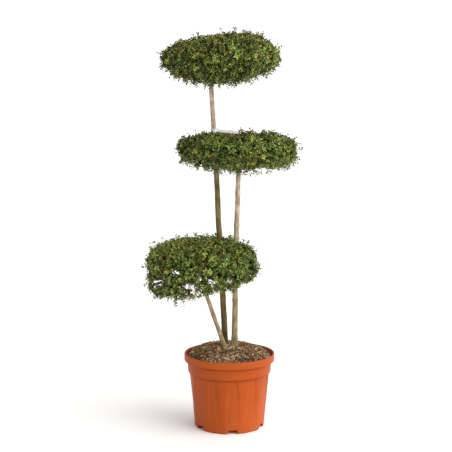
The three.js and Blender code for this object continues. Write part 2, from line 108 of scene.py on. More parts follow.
# Drainage notches in the bottom edge, under every second gap between ribs
NOTCH_WIDTH = 42
NOTCH_TOP_WIDTH = 29
NOTCH_HEIGHT = 15
NOTCH_DEPTH = 24
NOTCH_EDGE_SPAN = 0.35  # degrees round the pot

# Potting mix: a mound, and the chips of bark that lie on it
SOIL_TOP = POT_HEIGHT + 16
SOIL_LEVEL_RADIUS = 92
SOIL_RADIUS = 158
SOIL_EDGE_DROP = 32
SOIL_BACK_HEAP = 22
SOIL_HEAP_MIDWAY = 0.4  # share of that heap which is left halfway in from the wall
SOIL_RIGHT_DIP = 9  # how much lower the mix lies along the wall at the right
SOIL_DIP_WAY = (0.87, 0.5)  # from the pot's axis to the lowest place
SOIL_DIP_FOCUS = 3  # a high value keeps the dip narrow
SOIL_DEPTH = 40
SOIL_GAP = 1  # between the mix and the pot's wall
MOUND_BUMPS = ((2.2, 26, 5), (1.3, 9, 6))  # height, size and seed
MOUND_PROUD = 1  # how far a bump may stand above the level that the chips reach
CHIP_BED = 4.5  # how far the mound lies under that level
CHIP_RISE = CHIP_BED + 1.5  # how far up from the mound chips are strewn
CHIP_SINK = 0.5
CHIP_REACH = SOIL_RADIUS + 1
CHIP_CLEARANCE = 1  # from the stems
CHIP_TEST_LIFT = 20  # how far up the stems' radius is taken for that, above most of their flare
CHIP_TILT = 0.55  # steepest slope
CHIP_END_LIFT = 3  # how far an end may lift
CHIP_TILT_SPREAD = 0.8
CHIP_STRAY = (-0.38, 0.2)  # how far a corner strays in and out, as shares of the chip's size
CHIP_SEED = 21
CHIPS = {  # count, with the least and most length, width and thickness
    "chips": (2600, (8, 17), (5, 10), (2.5, 5.5)),
    "splinters": (1300, (10, 25), (1.6, 3.4), (1.4, 2.8)),
    "crumbs": (4200, (2.5, 7), (2.5, 6), (2, 4.5)),
}
CHIP_SHADES = {  # base colour, and how often it is dealt out, from the damp hollows to the dry tops
    "umber": ((0.068, 0.033, 0.012), 0.26),
    "moss": ((0.120, 0.102, 0.028), 0.11),
    "brown": ((0.165, 0.084, 0.034), 0.22),
    "russet": ((0.300, 0.145, 0.075), 0.14),
    "grey": ((0.300, 0.240, 0.165), 0.10),
    "tan": ((0.520, 0.340, 0.205), 0.17),
}
CHIP_PATCH = 55  # how far apart the damp and the dry patches are
CHIP_PATCH_SEED = 9
CHIP_MIXING = 1.1  # 0 sorts the shades into patches, and a high value deals them out at random

# Stems: points on the centre line, the radius at the soil and at the tip, and the bark's colour by height
ROOT_FLARE = 0.35
FLARE_HEIGHT = 38
FLARE_FADE = 3  # how fast the flare dies away over that height
FLARE_LOBES = 3
LOBE_DEPTH = 0.09
LOBE_FADE = 26
STEM_SINK = 9  # how deep the bark goes down among the chips
FOOT_SWELL = 1.05  # how much wider it is down there
STEM_SAMPLES = 400
STEMS = {
    "tall_stem": {
        "path": [
            (-16, 66, SOIL_TOP), (-23, 65, 440), (-38.5, 60, 730),
            (-47, 55, 935), (-60, 47, 1150), (-67, 41, 1266),
        ],
        "radius": (11.8, 8.8), "seed": 3,
        # Painted shade: its bark is darker at 900, just under the middle cloud, than at 700 below.
        "bark": [
            (300, (0.122, 0.085, 0.023)), (700, (0.305, 0.235, 0.096)),
            (900, (0.246, 0.180, 0.073)), (1060, (0.660, 0.555, 0.450)),
        ],
    },
    "right_stem": {
        "path": [(20, 27, SOIL_TOP), (21, 26, 450), (26.5, 22, 735), (34, 20, 948)],
        "radius": (11.6, 8.8), "seed": 8,
        "bark": [(300, (0.375, 0.310, 0.178)), (600, (0.425, 0.352, 0.232)), (900, (0.650, 0.540, 0.415))],
    },
    "leaning_stem": {
        "path": [(-17, 19, SOIL_TOP), (-46, 14, 375), (-72, 9, 452), (-97, 5, 522)],
        "radius": (9.2, 7.2), "seed": 14,
        "bark": [(300, (0.400, 0.322, 0.194)), (400, (0.485, 0.372, 0.242)), (520, (0.520, 0.390, 0.272))],
    },
}
STEM_SWAY = 1.2  # how far a stem wavers off its smooth line
STEM_BENDS = ((80, 0), (110, 4))  # how far apart it bends aside and to the front, and a step of its seed
STEM_STEADY = 60  # length at each end over which the wavering dies away
BARK_ROW = 2.0  # distance between two rings of a stem's mesh
BARK_COLUMNS = 48
BARK_RIDGES = ((7, 7, 0.42), (3.2, 5, 0.24), (16, 3, 0.5))  # size, stretch along the stem, and height
BARK_MARKS = {  # scale and detail of the noise, its stretch along the stem, where it fades out, and its tint
    "streaks": (120, 6, 0.16, (0.32, 0.62), (0.66, 0.63, 0.58)),
    "blotches": (50, 4, 0.60, (0.38, 0.60), (0.55, 0.53, 0.45)),
    "specks": (310, 2, 0.70, (0.30, 0.42), (0.72, 0.66, 0.58)),
}
FIRST_NODE = (20, 60)  # least and most distance up to the first old leaf node
NODE_GAPS = (48, 92)  # from one node to the next
NODE_SPAN = 6
NODE_RELIEF = 0.25  # of the ring at a node
SCAR_RELIEF = 1.1  # of the two leaf scars on it
SCAR_FOCUS = 7  # a high value keeps the scars narrow
KNOTS_PER_METRE = 9
KNOT_START = 30  # height of the lowest
KNOT_SPAN = 6
KNOT_STRETCH = 1.25
KNOT_RELIEF = 1.8
DIMPLE_SPAN = 0.4  # of the hollow in a knot, as a share of the knot
DIMPLE_DEPTH = 0.8

# Clouds, as in the part's source: rise and drop are the outline's height above and below the centre, its tilt
# to the right and its power. bare is how much of the foliage is missing low on the cloud, by height, and
# bare_ends is how much of that is left at its left and right ends. sky is where the camera sees sky through
# it: middle, half width and half height in the upright plane through the cloud's centre. hanging is the share
# of its lower sprigs that hang down past the outline, painted_light_side is the way that its lighter sprays
# face, which is painted light, and olive is the share of its sprays that are olive.
CLOUDS = {
    "top_cloud": {
        "bough": "tall_stem", "centre": (-34, 25, 1361), "half_width": 226, "half_depth": 210,
        "rise": (107, 0.17, 2.25), "drop": (104, -0.05, 1.8), "lump_turn": 11, "seed": 53, "spacing": 66,
        "bare": [(1262, 0.22), (1300, 0.18), (1345, 0.04), (1380, 0)], "bare_underside": 0.2,
        "bare_ends": 1, "sky": [], "hanging": 0.12, "painted_light_side": (0.6, -0.1, 0.1), "olive": 0.6,
    },
    "middle_cloud": {
        "bough": "right_stem", "centre": (29, 20, 1031), "half_width": 229, "half_depth": 212,
        "rise": (78, 0, 2.9), "drop": (84, 0.08, 2.6), "lump_turn": 23, "seed": 73, "spacing": 66,
        "bare": [(948, 0.22), (975, 0.22), (1000, 0.05), (1020, 0)], "bare_underside": 0.25,
        "bare_ends": 1, "sky": [(115, 960, 26, 10)], "hanging": 0.2,
        "painted_light_side": (0.6, -0.1, 0.1), "olive": 0.5,
    },
    "lower_cloud": {
        "bough": "leaning_stem", "centre": (-101, 0, 603), "half_width": 222, "half_depth": 208,
        "rise": (112, 0, 3), "drop": (121, -0.32, 3), "lump_turn": 37, "seed": 52, "spacing": 76,
        "bare": [(484, 0.05), (500, 0.30), (545, 0.38), (580, 0.28), (625, 0.05)], "bare_underside": 0.6,
        "bare_ends": 0.3,
        "sky": [
            (-262, 536, 28, 24), (-205, 578, 20, 11), (-165, 528, 36, 20), (-124, 506, 32, 12),
            (-75, 545, 26, 22), (0, 545, 16, 9), (75, 572, 12, 10),
        ],
        "hanging": 0.02, "painted_light_side": (-0.3, -0.2, 0.3), "olive": 0.35,
    },
}
LUMP = 0.045
LUMP_WAVES = 4.2
BARE_ENDS = (-0.95, -0.75, 0.3, 0.7)  # in half widths: left end, its start, right end's start, right end
UNDERSIDE_FACING = (0.75, 0.95)  # how far an underside faces down where it starts to be bare, and is barest
GAP_SIZE = 8  # how far apart the gaps in the foliage are
FINE_GAPS = 0.6  # strength of smaller gaps among them
FINE_GAP_RATIO = 2.5  # how many times smaller they are
FINE_GAP_SEED = 1
GAP_MIXING = 0.12
LEAF_THINNING = 1.2  # how much barer than its sprigs the foliage is of leaves
SKY_SHARE = 0.8  # how much of a place with sky is open
SPECK_SIZE = 5  # how far apart the specks of sky are
SPECK_SEED = 2
SKY_EDGE = (0.6, 1.3)  # how far out such a place starts to close and is closed, in its half sizes

# Growth, from the boughs out to the sprigs: least distance between two tips on the outline, how deep under
# it they end, the radius at root and tip, the mesh's rings and sides, and a step of the cloud's seed.
# The branches are the source's own sprigs, with the cloud's own spacing.
BOUGHS = {"spacing": 125, "depth": 78, "radius": (6.5, 3.6), "mesh": (8, 8), "seed": 100}
BRANCHES = {"depth": 54, "radius": (3.6, 2.2), "mesh": (6, 6), "seed": 0}
TWIGS = {"spacing": 26, "depth": 31, "radius": (1.6, 0.9), "mesh": (5, 4), "seed": 200}
SPRIGS = {"spacing": 9.4, "depth": 8, "radius": (0.7, 0.4), "mesh": (3, 3), "seed": 300}
SOURCE_TRIES = 4000
FINE_TRIES = 44000
OWN_STEM_REACH = 0.75
OWN_STEM_TAPER = 0.3
OWN_STEM_MESH = (6, 12)
BOUGH_ROOTS = (0.1, 0.95)  # where on that stem the lowest and the highest bough leave it
BOUGH_ARCH = 0.12  # how far a bough's middle arches up, as a share of its length
FORK_BACK = 1.05  # how far back from its parent's tip a limb leaves, in distances to that tip
FORK_ROOM = 6  # how much farther back than that
FORK_PLACES = (0.2, 0.96)  # nearest to the root and to the tip of its parent
KNEE_REACH = 0.45
LIMB_CLEARANCE = 3
SPRIG_CLEARANCE = 1
CLEAR_PLACES = np.linspace(0.35, 1, 6)  # where along a limb it is tested
SPRIG_STRAY = 3.5
SPRIG_UNEVENNESS = 5
TUFT_SIZE = 48  # how far apart the tufts of the clipped surface are
TUFT_DEPTH = 12
TUFT_CREST = 0.5  # noise above which a tuft has its full reach
TUFT_HOLLOW = 1.2  # deepest hollow between tufts, in tuft depths
TUFT_SEED = 7
SHOOT_SHARE = 0.05  # sprigs that have grown out past the clipped surface
SHOOT_REACH = (0, 11)  # how far past it, at least and at most
HANG_FACING = (-0.5, 0)  # how far up a sprig faces where all that stand out hang, and where none do

# Leaves, in crossed pairs down each sprig from its tip. Leans are degrees off the sprig, and tones are added
# to the spray's tone, where 0 is deep and 4 is young.
LEAF_LENGTH = 13.4
LENGTH_SPREAD = (0.8, 1.15)
LEAF_SHAPE = 0.5  # width as a share of the length
WIDTH_SPREAD = (0.88, 1.14)
LEAF_FOLD = 0.16  # lift of the edges above the midrib, as a share of the width
LEAF_CURL = 0.09  # droop of the point, as a share of the length
CURL_SPREAD = 0.6
LEAF_CORNERS = (  # share of the length, share of the width, and 1 where the edge is folded up
    (0, 0, 0), (0.27, -0.44, 1), (0.63, -0.46, 1), (1, 0, 0), (0.63, 0.46, 1), (0.27, 0.44, 1), (0.45, 0, 0),
)
LEAF_FAN = np.array([(corner, (corner + 1) % 6, 6) for corner in range(6)])
SPRIG_PAIRS = {
    "gap": 5.2,
    "sizes": (0.52, 0.78, 0.95, 1.0, 1.0, 1.0, 0.96),
    "leans": (38, 54, 64, 71, 76, 79, 81),
    "tones": (0.9, 0.5, 0.15, -0.2, -0.6, -1.0, -1.3),
}
TWIG_PAIRS = {"gap": 8, "sizes": (1.9,) * 7, "leans": (58,) * 7, "tones": (0,) * 7}  # old, inside a cloud
PAIR_STRAY = 0.25  # how far a pair strays along its sprig, in gaps
TIP_STALK = 1.5  # from a sprig's tip back to its first pair
ROOT_BARE = 0.04  # share of a sprig, at its root, that bears no leaf
LEAN_SPREAD = 9
WAY_SPREAD = 0.10
FACING_SPREAD = 0.30
SPRAY_TONE = 1.83
SPRAY_SPREAD = 0.55
LEAF_SPREAD = 0.85
SHOOT_TONE = 0.5
THIN_PAINTED_LIGHT = 1.5  # painted light: tone added where the foliage is thin and lets light in
INNER_TONE = 0.4
INNER_SPREAD = 0.3
INNER_BARE = 2.2  # how much sooner than the sprigs the inner twigs are bare
LEAF_SLACK = 3  # how far past the outline a leaf's point may come
LEAF_CLEARANCE = 2
LEAF_SHADES = {
    "deep": (0.021, 0.035, 0.006),
    "dark": (0.042, 0.064, 0.010),
    "mid": (0.081, 0.115, 0.017),
    "fresh": (0.157, 0.202, 0.032),
    "young": (0.320, 0.370, 0.078),
    "bronze": (0.150, 0.083, 0.030),
}
SHADE_NUMBERS = {name: number for number, name in enumerate(LEAF_SHADES)}
LEAF_KINDS = {"old_leaves": ("deep", "dark", "mid"), "young_leaves": ("fresh", "young", "bronze")}
HUES = {"green": (0.90, 1.0, 1.0), "olive": (1.10, 0.99, 1.0)}  # what each shade is multiplied by
HUE_PATCH = 44  # how far apart the green and the olive patches are
HUE_SEEDS = (11, 12)
HUE_MIXING = 1.2  # 0 sorts the sprays into patches, and a high value deals the hues out at random
OLIVE_PAINTED_SHADE_WAY = (-0.5, 0, 0.3)  # painted shade as an olive tint: the way that more of the olive sprays face, mostly left, away from the light
BRONZE_SHARE = 0.022
LEAF_ROUGHNESS = 0.46
LEAF_GLOSS = 0.22

# Plain plant tag looped round the tall stem, its tail lying on a cloud
TAG_CLOUD = "middle_cloud"
TAG_HEIGHT = 1104
TAG_LOOP_WIDTH = 13
TAG_LOOP_SLACK = 1.2
TAG_LENGTH = 84
TAG_WIDTH = 22
TAG_THICKNESS = 1
TAG_END_ROUND = 5
TAG_END_WIDTH = 0.2  # of the rounded end, as a share of the whole width
TAG_NECK_WIDTH = 0.55  # of the neck at the loop, likewise
TAG_NECK_LENGTH = 0.22  # as a share of the tag's length
TAG_TURN = -14  # degrees from +X
TAG_SLOPE = 4
TAG_ROLL = 26
TAG_SAG = 0.8
TAG_ROOM = (6, 0.6, 0.35)  # clear past its end, in millimetres, and beside and above it, in widths
TAG_VIEW = (-0.02, 1.15)  # from where to where along it no leaf stands up in front


# Numbers and shapes

def seeded(seed):
    """Repeatable random numbers from 0 to 1, the same as in the part's source."""
    word = 0xFFFFFFFF
    state = seed

    def draw():
        nonlocal state
        state = (state + 0x6D2B79F5) & word
        mixed = ((state ^ (state >> 15)) * (1 | state)) & word
        mixed = ((mixed + (((mixed ^ (mixed >> 7)) * (61 | mixed)) & word)) ^ mixed) & word
        return (mixed ^ (mixed >> 14)) / (word + 1)

    return draw


def noise(points, size, seed):
    """Smooth noise from -1 to 1, with hills about size apart."""
    primes = np.array([73856093, 19349663, 83492791])
    scaled = np.asarray(points, float) / size
    cell = np.floor(scaled).astype(np.int64)
    share = scaled - cell
    share = share * share * (3 - 2 * share)
    total = 0
    for corner in np.ndindex(2, 2, 2):
        mixed = (cell + corner) @ primes + seed * 265443576
        mixed = (mixed ^ (mixed >> 13)) * 1274126177
        value = ((mixed ^ (mixed >> 16)) & 0xFFFF) / 0xFFFF
        total = total + value * np.prod(np.where(corner, share, 1 - share), axis=-1)
    return 2 * total - 1


def unit(vectors):
    return vectors / np.maximum(np.linalg.norm(vectors, axis=-1, keepdims=True), 1e-9)


def across(ways, guides):
    """Unit vectors square to the ways, as near as can be to the guides."""
    return unit(guides - ways * np.sum(guides * ways, axis=-1, keepdims=True))


def full_turn(count):
    """Angles that part a full turn evenly."""
    return 2 * np.pi * np.arange(count) / count


def polar(radius, turn, height):
    """Points round the Z axis, at a turn from the front."""
    places = np.broadcast_arrays(radius * np.sin(turn), -radius * np.cos(turn), height)
    return np.stack(places, axis=-1)


def turned(axis, degrees):
    """The matrix of a turn about one axis."""
    sine, cosine = math.sin(math.radians(degrees)), math.cos(math.radians(degrees))
    about_x = np.array([(1, 0, 0), (0, cosine, -sine), (0, sine, cosine)])
    return np.roll(about_x, axis, axis=(0, 1))


def grid_faces(rows, columns):
    """Four-cornered faces between rows of points that close up round the columns."""
    row, column = np.meshgrid(columns * np.arange(rows - 1), np.arange(columns), indexing="ij")
    beside = (column + 1) % columns
    corners = [row + column, row + beside, row + columns + beside, row + columns + column]
    return np.stack(corners, axis=-1).reshape(-1, 4)


def capped_faces(rows, columns):
    """The same, with one flat face across each end."""
    around = np.arange(columns)
    return [grid_faces(rows, columns), around[::-1][None], ((rows - 1) * columns + around)[None]]


def tubes(centres, radii, sides):
    """Closed tubes along rows of points: centres is (tube, ring, xyz) and radii is (tube, ring)."""
    count, rings = radii.shape
    ways = unit(np.gradient(centres, axis=1))
    whole = unit(centres[:, -1] - centres[:, 0])
    steep = 0.9
    upright = np.abs(whole[:, 2:]) > steep
    guides = np.where(upright, (1.0, 0.0, 0.0), (0.0, 0.0, 1.0))[:, None]
    first = across(ways, np.broadcast_to(guides, ways.shape))
    second = np.cross(ways, first)
    turns = full_turn(sides)
    spokes = np.cos(turns)[:, None] * first[:, :, None] + np.sin(turns)[:, None] * second[:, :, None]
    points = centres[:, :, None] + radii[:, :, None, None] * spokes
    starts = (np.arange(count) * rings * sides)[:, None, None]
    faces = [(starts + kind).reshape(-1, kind.shape[1]) for kind in capped_faces(rings, sides)]
    return points.reshape(-1, 3), faces


def join(parts):
    """Joins several (points, faces) into one."""
    points = np.concatenate([part[0] for part in parts])
    starts = np.cumsum([0] + [len(part[0]) for part in parts[:-1]])
    faces = [kind + start for part, start in zip(parts, starts) for kind in part[1]]
    return points, faces


def piece(name, points, faces, node, materials, shades=None, sharp=None):
    """A mesh of the object, from points in millimetres. It stands for a CAD node, which it hides.

    shades gives each face its material, and edges bent by more than sharp degrees stay crisp.
    """
    mesh = bpy.data.meshes.new(name)
    mesh.vertices.add(len(points))
    mesh.vertices.foreach_set("co", (np.asarray(points) * MM).astype(np.float32).ravel())
    corners = np.concatenate([kind.ravel() for kind in faces])
    sizes = np.concatenate([np.full(len(kind), kind.shape[1]) for kind in faces])
    mesh.loops.add(len(corners))
    mesh.loops.foreach_set("vertex_index", corners.astype(np.int32))
    mesh.polygons.add(len(sizes))
    mesh.polygons.foreach_set("loop_start", (np.cumsum(sizes) - sizes).astype(np.int32))
    mesh.polygons.foreach_set("use_smooth", np.ones(len(sizes), bool))
    for material in materials:
        mesh.materials.append(material)
    if shades is not None:
        mesh.polygons.foreach_set("material_index", np.asarray(shades, np.int32))
    mesh.update(calc_edges=True)
    mesh.validate()
    if sharp is not None:
        mesh.set_sharp_from_angle(angle=math.radians(sharp))
    made = bpy.data.objects.new(name, mesh)
    bpy.context.scene.collection.objects.link(made)
    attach(made, BODY)
    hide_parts(node)
    return made


# Materials

def new_material(name, colour, roughness, specular):
    """A material and its node tree, with one colour and gloss all over."""
    made = bpy.data.materials.new(name)
    made.use_nodes = True
    shader = made.node_tree.nodes["Principled BSDF"]
    shader.inputs["Base Color"].default_value = (*colour, 1)
    shader.inputs["Roughness"].default_value = roughness
    shader.inputs["Specular IOR Level"].default_value = specular
    return made, made.node_tree, shader


def feed(tree, socket, value):
    """Gives a socket a value, or links it to the socket that feeds it."""
    if isinstance(value, bpy.types.NodeSocket):
        tree.links.new(value, socket)
    else:
        socket.default_value = value


def add_node(tree, kind, inputs, **settings):
    """A node whose inputs are either values or the sockets that feed them."""
    node = tree.nodes.new(kind)
    for name, value in settings.items():
        setattr(node, name, value)
    for name, value in inputs.items():
        feed(tree, node.inputs[name], value)
    return node


def add_range(tree, value, before, after):
    """A value drawn from one range to another, and held at its ends."""
    ends = {"From Min": before[0], "From Max": before[1], "To Min": after[0], "To Max": after[1]}
    return add_node(tree, "ShaderNodeMapRange", {"Value": value, **ends}).outputs["Result"]


def object_place(tree):
    return add_node(tree, "ShaderNodeTexCoord", {}).outputs["Object"]


def height_share(tree, low, high):
    """0 up to one height of the object and 1 from another."""
    height = add_node(tree, "ShaderNodeSeparateXYZ", {"Vector": object_place(tree)}).outputs["Z"]
    return add_range(tree, height, (low * MM, high * MM), (0, 1))


def ramp(tree, factor, stops):
    """A colour ramp through (place, colour) stops."""
    node = add_node(tree, "ShaderNodeValToRGB", {"Fac": factor})
    elements = node.color_ramp.elements
    while len(elements) < len(stops):
        elements.new(0.5)
    for element, (place, colour) in zip(elements, stops):
        element.position = place
        element.color = (*colour, 1)
    return node.outputs["Color"]


def mottle(tree, scale, detail, stretch=1):
    """Noise in the object's own space. A stretch below 1 draws it out upwards."""
    spread = add_node(tree, "ShaderNodeMapping", {"Vector": object_place(tree), "Scale": (1, 1, stretch)})
    inputs = {"Vector": spread.outputs["Vector"], "Scale": scale, "Detail": detail}
    return add_node(tree, "ShaderNodeTexNoise", inputs).outputs["Fac"]


def mix(tree, factor, first, second, blend="MIX"):
    node = tree.nodes.new("ShaderNodeMix")
    node.data_type = "RGBA"
    node.blend_type = blend
    for name, value in (("Factor", factor), ("A", first), ("B", second)):
        feed(tree, next(item for item in node.inputs if item.name == name and item.enabled), value)
    return next(item for item in node.outputs if item.enabled)


def bump(tree, shader, height, strength, distance):
    node = add_node(tree, "ShaderNodeBump", {"Height": height, "Strength": strength, "Distance": distance})
    tree.links.new(node.outputs["Normal"], shader.inputs["Normal"])


def pot_plastic():
    """Terracotta-coloured moulded plastic: faintly clouded, dusty towards the foot, with a fine grain and
    painted shade under the band.
    """
    made, tree, shader = new_material("terracotta_plastic", (0.38, 0.064, 0.006), 0.5, POT_GLOSS)
    clouded = ramp(tree, mottle(tree, scale=7, detail=5), list(zip((0.32, 0.70), POT_COLOURS)))
    low = add_range(tree, height_share(tree, DUST_HEIGHT, 0), (0, 1), (0, DUST_SHARE))
    streaks = ramp(tree, mottle(tree, scale=26, detail=6, stretch=0.25), [(0.45, (0, 0, 0)), (0.75, WHITE)])
    dust = add_node(tree, "ShaderNodeMath", {0: low, 1: streaks}, operation="MULTIPLY").outputs["Value"]
    colour = mix(tree, dust, clouded, (*DUST_COLOUR, 1))
    # Painted shade: a darker ring in the crease under the band, where the band's shadow falls.
    crease = height_share(tree, CREASE_FOOT, CREASE_TOP)
    painted_crease_shade = ramp(tree, crease, [(0.0, WHITE), (0.5, CREASE_PAINTED_SHADE), (0.8, CREASE_PAINTED_SHADE), (1.0, WHITE)])
    colour = mix(tree, 1.0, colour, painted_crease_shade, "MULTIPLY")
    tree.links.new(colour, shader.inputs["Base Color"])
    worn = add_range(tree, mottle(tree, scale=18, detail=6), (0, 1), POT_ROUGHNESS)
    tree.links.new(worn, shader.inputs["Roughness"])
    bump(tree, shader, mottle(tree, scale=700, detail=2), strength=0.12, distance=0.0006)
    return made


def bark(name, stops):
    """Smooth bark, marked along the stem, whose colour changes with height."""
    made, tree, shader = new_material(name, stops[0][1], roughness=0.78, specular=0.3)
    low, high = stops[0][0], stops[-1][0]
    places = [((height - low) / (high - low), colour) for height, colour in stops]
    colour = ramp(tree, height_share(tree, low, high), places)
    for scale, detail, stretch, (full, gone), tint in BARK_MARKS.values():
        marks = ramp(tree, mottle(tree, scale, detail, stretch), [(full, tint), (gone, WHITE)])
        colour = mix(tree, 1.0, colour, marks, "MULTIPLY")
    tree.links.new(colour, shader.inputs["Base Color"])
    bump(tree, shader, mottle(tree, scale=260, detail=6, stretch=0.2), strength=0.5, distance=0.001)
    return made


def compost():
    """Dark damp crumbs under the bark chips."""
    made, tree, shader = new_material("compost", (0.05, 0.032, 0.02), roughness=0.95, specular=0.2)
    stops = [(0.35, (0.034, 0.018, 0.008)), (0.68, (0.100, 0.058, 0.028))]
    tree.links.new(ramp(tree, mottle(tree, scale=160, detail=6), stops), shader.inputs["Base Color"])
    bump(tree, shader, mottle(tree, scale=240, detail=6), strength=1.0, distance=0.004)
    return made


def tag_plastic():
    """Blank white label plastic, a little soiled."""
    made, tree, shader = new_material("label_plastic", (0.70, 0.70, 0.68), roughness=0.45, specular=0.4)
    stops = [(0.35, (0.64, 0.63, 0.60)), (0.60, (0.74, 0.74, 0.73))]
    tree.links.new(ramp(tree, mottle(tree, scale=60, detail=5), stops), shader.inputs["Base Color"])
    return made


# Stage

def make_camera(scene):
    camera = bpy.data.objects.new("camera", bpy.data.cameras.new("camera"))
    camera.location = np.array(CAMERA_PLACE) * MM
    camera.rotation_euler = (math.radians(90 - CAMERA_PITCH), 0, 0)
    camera.data.angle = math.radians(CAMERA_VIEW)
    scene.collection.objects.link(camera)
    scene.camera = camera


def make_lights(scene):
    world = bpy.data.worlds.new("studio")
    world.use_nodes = True
    sky = world.node_tree
    sky.nodes["Background"].inputs["Color"].default_value = (*WHITE, 1)
    way = add_node(sky, "ShaderNodeTexCoord", {}).outputs["Generated"]
    axes = add_node(sky, "ShaderNodeSeparateXYZ", {"Vector": way}).outputs
    walls_and_sky = [add_range(sky, axes["X"], (-1, 1), ends) for ends in (WALL_LIGHT, SKY_LIGHT)]
    light = add_range(sky, axes["Z"], WALL_HEIGHTS, walls_and_sky)
    in_view = add_node(sky, "ShaderNodeLightPath", {}).outputs["Is Camera Ray"]
    strength = add_range(sky, in_view, (0, 1), (light, BACKDROP_LIGHT))
    sky.links.new(strength, sky.nodes["Background"].inputs["Strength"])
    scene.world = world

    key = bpy.data.objects.new("key", bpy.data.lights.new("key", "SUN"))
    key.data.energy = KEY_STRENGTH
    key.data.angle = math.radians(KEY_SPREAD)
    key.data.color = KEY_COLOUR
    key.rotation_euler = (math.radians(90 - KEY_HEIGHT), 0, math.radians(KEY_TURN))
    scene.collection.objects.link(key)


def make_floor(scene):
    mesh = bpy.data.meshes.new("floor")
    ring = polar(FLOOR_RADIUS * MM, full_turn(FLOOR_CORNERS), 0.0)
    mesh.from_pydata(ring.tolist(), [], [list(range(FLOOR_CORNERS))])
    floor = bpy.data.objects.new("floor", mesh)
    mesh.materials.append(new_material("floor", FLOOR_COLOUR, roughness=0.9, specular=0.2)[0])
    scene.collection.objects.link(floor)


def make_stage():
    scene = bpy.context.scene
    scene.view_settings.view_transform = "Standard"
    make_camera(scene)
    make_lights(scene)
    make_floor(scene)


# Pot

def body_radius(height):
    return BASE_RADIUS + (BODY_RADIUS - BASE_RADIUS) * height / BODY_TOP


def notch_half_width(height):
    """Half the width of a notch, whose top corners are rounded."""
    share = min(1, height / NOTCH_HEIGHT)
    return (NOTCH_WIDTH + (NOTCH_TOP_WIDTH - NOTCH_WIDTH) * share**3) / 2


def rows_from(radius, height, steps):
    """Rows of the wall's profile as (radius, height), in steps out and up from one place."""
    return [(radius + out, height + up) for out, up in steps]


# Both ways past a notch's edge have as many rows: round the solid foot, or in under the notch
FOOT_INSIDE = BASE_RADIUS - NOTCH_DEPTH
SOLID_FOOT = [
    *rows_from(FOOT_INSIDE, 0, [(0, 0), (7, 0), (14, 0)]),
    *rows_from(BASE_RADIUS, 0, [(-EDGE_ROUND, 0), (-0.9, 0.9)]),
    *((body_radius(height), height) for height in (3, 9, 13)),
]
NOTCH_FOOT = [
    *rows_from(FOOT_INSIDE, 0, [(0, 0), (0, 5), (0, 11), (1.2, 13.8)]),
    *rows_from(FOOT_INSIDE, NOTCH_HEIGHT, [(4, 0), (12, 0)]),
    *rows_from(BASE_RADIUS, NOTCH_HEIGHT, [(-3, 0), (0, 0.3)]),
]
BODY_ROWS = [(body_radius(z), z) for z in np.linspace(RIB_FOOT_HEIGHT, RIB_TOP_HEIGHT, RIB_ROWS)]
RIM_ROUNDING = [(-0.4, -1.6), (-1.5, -0.4), (-3, 0), (-4.6, -0.5), (-5.6, -1.8)]
UPPER_ROWS = [
    *rows_from(BODY_RADIUS, BODY_TOP, [(0.4, -0.6), (3, 0.8)]),
    *rows_from(BAND_RADIUS - BAND_TAPER, BAND_FOOT, [(-1.6, -1), (-0.4, 0.2), (0, 2)]),
    *rows_from(BAND_RADIUS, BAND_FOOT, [(-1.6, 14), (-0.7, 28)]),
    *rows_from(BAND_RADIUS, LIP_FOOT, [(-0.6, -5.5), (-2.2, -3.5), (-2.2, 2)]),
    *rows_from(RIM_RADIUS, LIP_FOOT, [(-3, 0), (-1, 0.6), (-0.2, 2), (0, 4)]),
    *rows_from(RIM_RADIUS, POT_HEIGHT, [(0, -12), (0, -4), *RIM_ROUNDING, (-RIM_WIDTH, -4)]),
    *rows_from(BAND_RADIUS, POT_HEIGHT, [(1, -16)]),
    *rows_from(BAND_RADIUS - WALL, LIP_FOOT, [(0, -WALL)]),
    *rows_from(BAND_RADIUS - WALL, BAND_FOOT, [(-BAND_TAPER, 0)]),
    *rows_from(BODY_RADIUS - WALL, BODY_TOP, [(0, -WALL)]),
    *rows_from(body_radius(INSIDE_FOOT) - WALL, INSIDE_FOOT, [(0, 0)]),
]
RIB_LIFTS = (1, 1, 0.92, 0.5, 0.05, 0, 0, 0)  # relief at the angles from a rib's middle to the next gap's
IN_NOTCH = (0, 0, 0, 0, 1, 1, 1, 1)
RIB_GAP_SHARES = (0.3, 0.65, 1)  # the last three of them, as shares of the way on from the edge
NOTCH_GAP_SHARES = (0.35, 0.7, 1)


def rib_share(height):
    """0 where the ribs start and 1 where they end."""
    return np.clip((height - RIB_FOOT_HEIGHT) / (BODY_TOP - RIB_FOOT_HEIGHT), 0, 1)


def rib_offsets(height):
    """Angles from a rib's middle to the middle of the next gap, in degrees, crowded at the rib's edge."""
    half = (RIB_FOOT_SPAN + (RIB_TOP_SPAN - RIB_FOOT_SPAN) * rib_share(height)) / 2
    foot = half + RIB_EDGE_SPAN
    in_gap = (foot + share * (HALF_PITCH - foot) for share in RIB_GAP_SHARES)
    return [0, half / 2, half, half + RIB_EDGE_SPAN / 2, foot, *in_gap]


def notch_offsets(radius, height):
    """The same below the ribs, crowded at the edge of the notch."""
    edge = HALF_PITCH - math.degrees(notch_half_width(height) / radius)
    inside = edge + NOTCH_EDGE_SPAN
    in_gap = (inside + share * (HALF_PITCH - inside) for share in NOTCH_GAP_SHARES)
    return [0, edge / 3, edge / 1.5, edge, inside, *in_gap]


def pot_column(rib, side, place):
    """One line of points up the wall, over the rim and down the inside, as (angle, radius, height)."""
    beside_notch = (rib % 2 == 0) == (side > 0)
    middle = RIB_TURN + rib * 360 / RIBS
    column = []
    foot = NOTCH_FOOT if beside_notch and IN_NOTCH[place] else SOLID_FOOT
    for radius, height in foot:
        column.append((middle + side * notch_offsets(radius, height)[place], radius, height))
    for radius, height in BODY_ROWS + UPPER_ROWS:
        under_band = height < BODY_TOP + 1
        lift = RIB_RELIEF * RIB_LIFTS[place] * rib_share(height) if under_band else 0
        column.append((middle + side * rib_offsets(height)[place], radius + lift, height))
    return column


